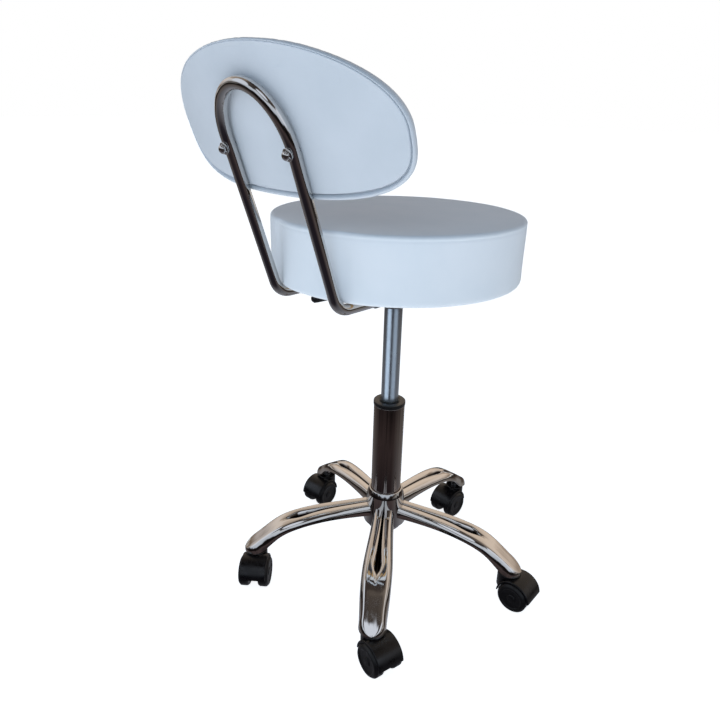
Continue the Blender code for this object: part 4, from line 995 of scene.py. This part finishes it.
# the room that the chrome mirrors, from straight down (0) to straight up (1)
world = bpy.data.worlds.new("room")
bpy.context.scene.world = world
world.use_nodes = True
tree = world.node_tree
tree.nodes.clear()
way = add_node(tree, "ShaderNodeTexCoord").outputs["Generated"]
parts = add_node(tree, "ShaderNodeSeparateXYZ", {"Vector": way})
height = add_node(tree, "ShaderNodeMapRange", {"Value": parts.outputs["Z"], "From Min": -1.0, "From Max": 1.0})
streaks = add_node(tree, "ShaderNodeMapping", {"Vector": way, "Scale": (3.2, 3.2, 0.9)})
clutter = add_node(tree, "ShaderNodeTexNoise", {"Vector": streaks.outputs["Vector"], "Scale": 1.0, "Detail": 2.0,
                                                "Roughness": 0.5})
shaken = add_node(tree, "ShaderNodeMapRange", {"Value": clutter.outputs["Fac"], "From Min": 0.3, "From Max": 0.7,
                                               "To Min": -0.04, "To Max": 0.04})
moved = add_node(tree, "ShaderNodeMath", {0: height.outputs["Result"], 1: shaken.outputs["Result"]}, operation="ADD")


def ramp(tree, value, stops):
    """A colour ramp with its stops set."""
    made = add_node(tree, "ShaderNodeValToRGB", {"Fac": value})
    ends = made.color_ramp.elements
    while len(ends) < len(stops):
        ends.new(0.5)
    for end, (at, colour) in zip(ends, stops):
        end.position = at
        end.color = srgb(colour)
    return made.outputs["Color"]


far_side = ramp(tree, moved.outputs["Value"], [
    (0.0, "#A8ACB6"), (0.18, "#9A9CA4"), (0.26, "#8C8A8C"), (0.31, "#84807C"), (0.38, "#4A403A"), (0.465, "#0E0A0A"),
    (0.50, "#FFFDFA"), (0.535, "#8E7C6C"), (0.68, "#EAD8C6"), (0.93, "#D8C8B8"), (0.975, "#5A5048"), (1.0, "#3A3432")])
near_side = ramp(tree, moved.outputs["Value"], [
    (0.0, "#4A4446"), (0.12, "#26232A"), (0.20, "#221E24"), (0.31, "#4C4242"), (0.39, "#1C1818"), (0.49, "#0C0909"),
    (0.555, "#2C2826"), (0.585, "#C4CEDC"), (0.74, "#D8E0EA"), (0.78, "#3C3836"), (1.0, "#3A3432")])
NEAR = Vector((-0.42, 0.91, 0.0))
facing = add_node(tree, "ShaderNodeVectorMath", {0: way, 1: NEAR}, operation="DOT_PRODUCT")
nearness = add_node(tree, "ShaderNodeMapRange", {"Value": facing.outputs["Value"], "From Min": -0.80,
                                                 "From Max": 0.55})
room = add_node(tree, "ShaderNodeMix", {"Factor": nearness.outputs["Result"], "A": far_side, "B": near_side},
                data_type="RGBA")
for aim, edge in (((0.55, 0.62, 0.56), 0.95), ((-0.88, 0.05, 0.47), 0.965), ((-0.30, 0.62, 0.72), 0.972)):
    towards = add_node(tree, "ShaderNodeVectorMath", {0: way, 1: Vector(aim).normalized()}, operation="DOT_PRODUCT")
    pane = add_node(tree, "ShaderNodeMapRange", {"Value": towards.outputs["Value"], "From Min": edge - 0.006,
                                                 "From Max": edge + 0.006})
    room = add_node(tree, "ShaderNodeMix", {"Factor": pane.outputs["Result"], "A": room.outputs["Result"],
                                            "B": srgb("#E6EEFC")}, data_type="RGBA")
seen = add_node(tree, "ShaderNodeLightPath")
mirrored = add_node(tree, "ShaderNodeBackground", {"Color": room.outputs["Result"], "Strength": 1.15})
overhead = add_node(tree, "ShaderNodeMapRange", {"Value": parts.outputs["Z"], "To Min": 0.36, "To Max": 0.32})
ambient = add_node(tree, "ShaderNodeBackground", {"Color": srgb("#D2E8FF"), "Strength": overhead.outputs["Result"]})
white = add_node(tree, "ShaderNodeBackground", {"Color": (1.0, 1.0, 1.0, 1.0), "Strength": 1.0})
for_light = add_node(tree, "ShaderNodeMixShader", {0: seen.outputs["Is Glossy Ray"], 1: ambient.outputs["Background"],
                                                   2: mirrored.outputs["Background"]})
for_all = add_node(tree, "ShaderNodeMixShader", {0: seen.outputs["Is Camera Ray"], 1: for_light.outputs["Shader"],
                                                 2: white.outputs["Background"]})
add_node(tree, "ShaderNodeOutputWorld", {"Surface": for_all.outputs["Shader"]})
bpy.context.scene.view_settings.view_transform = "Standard"
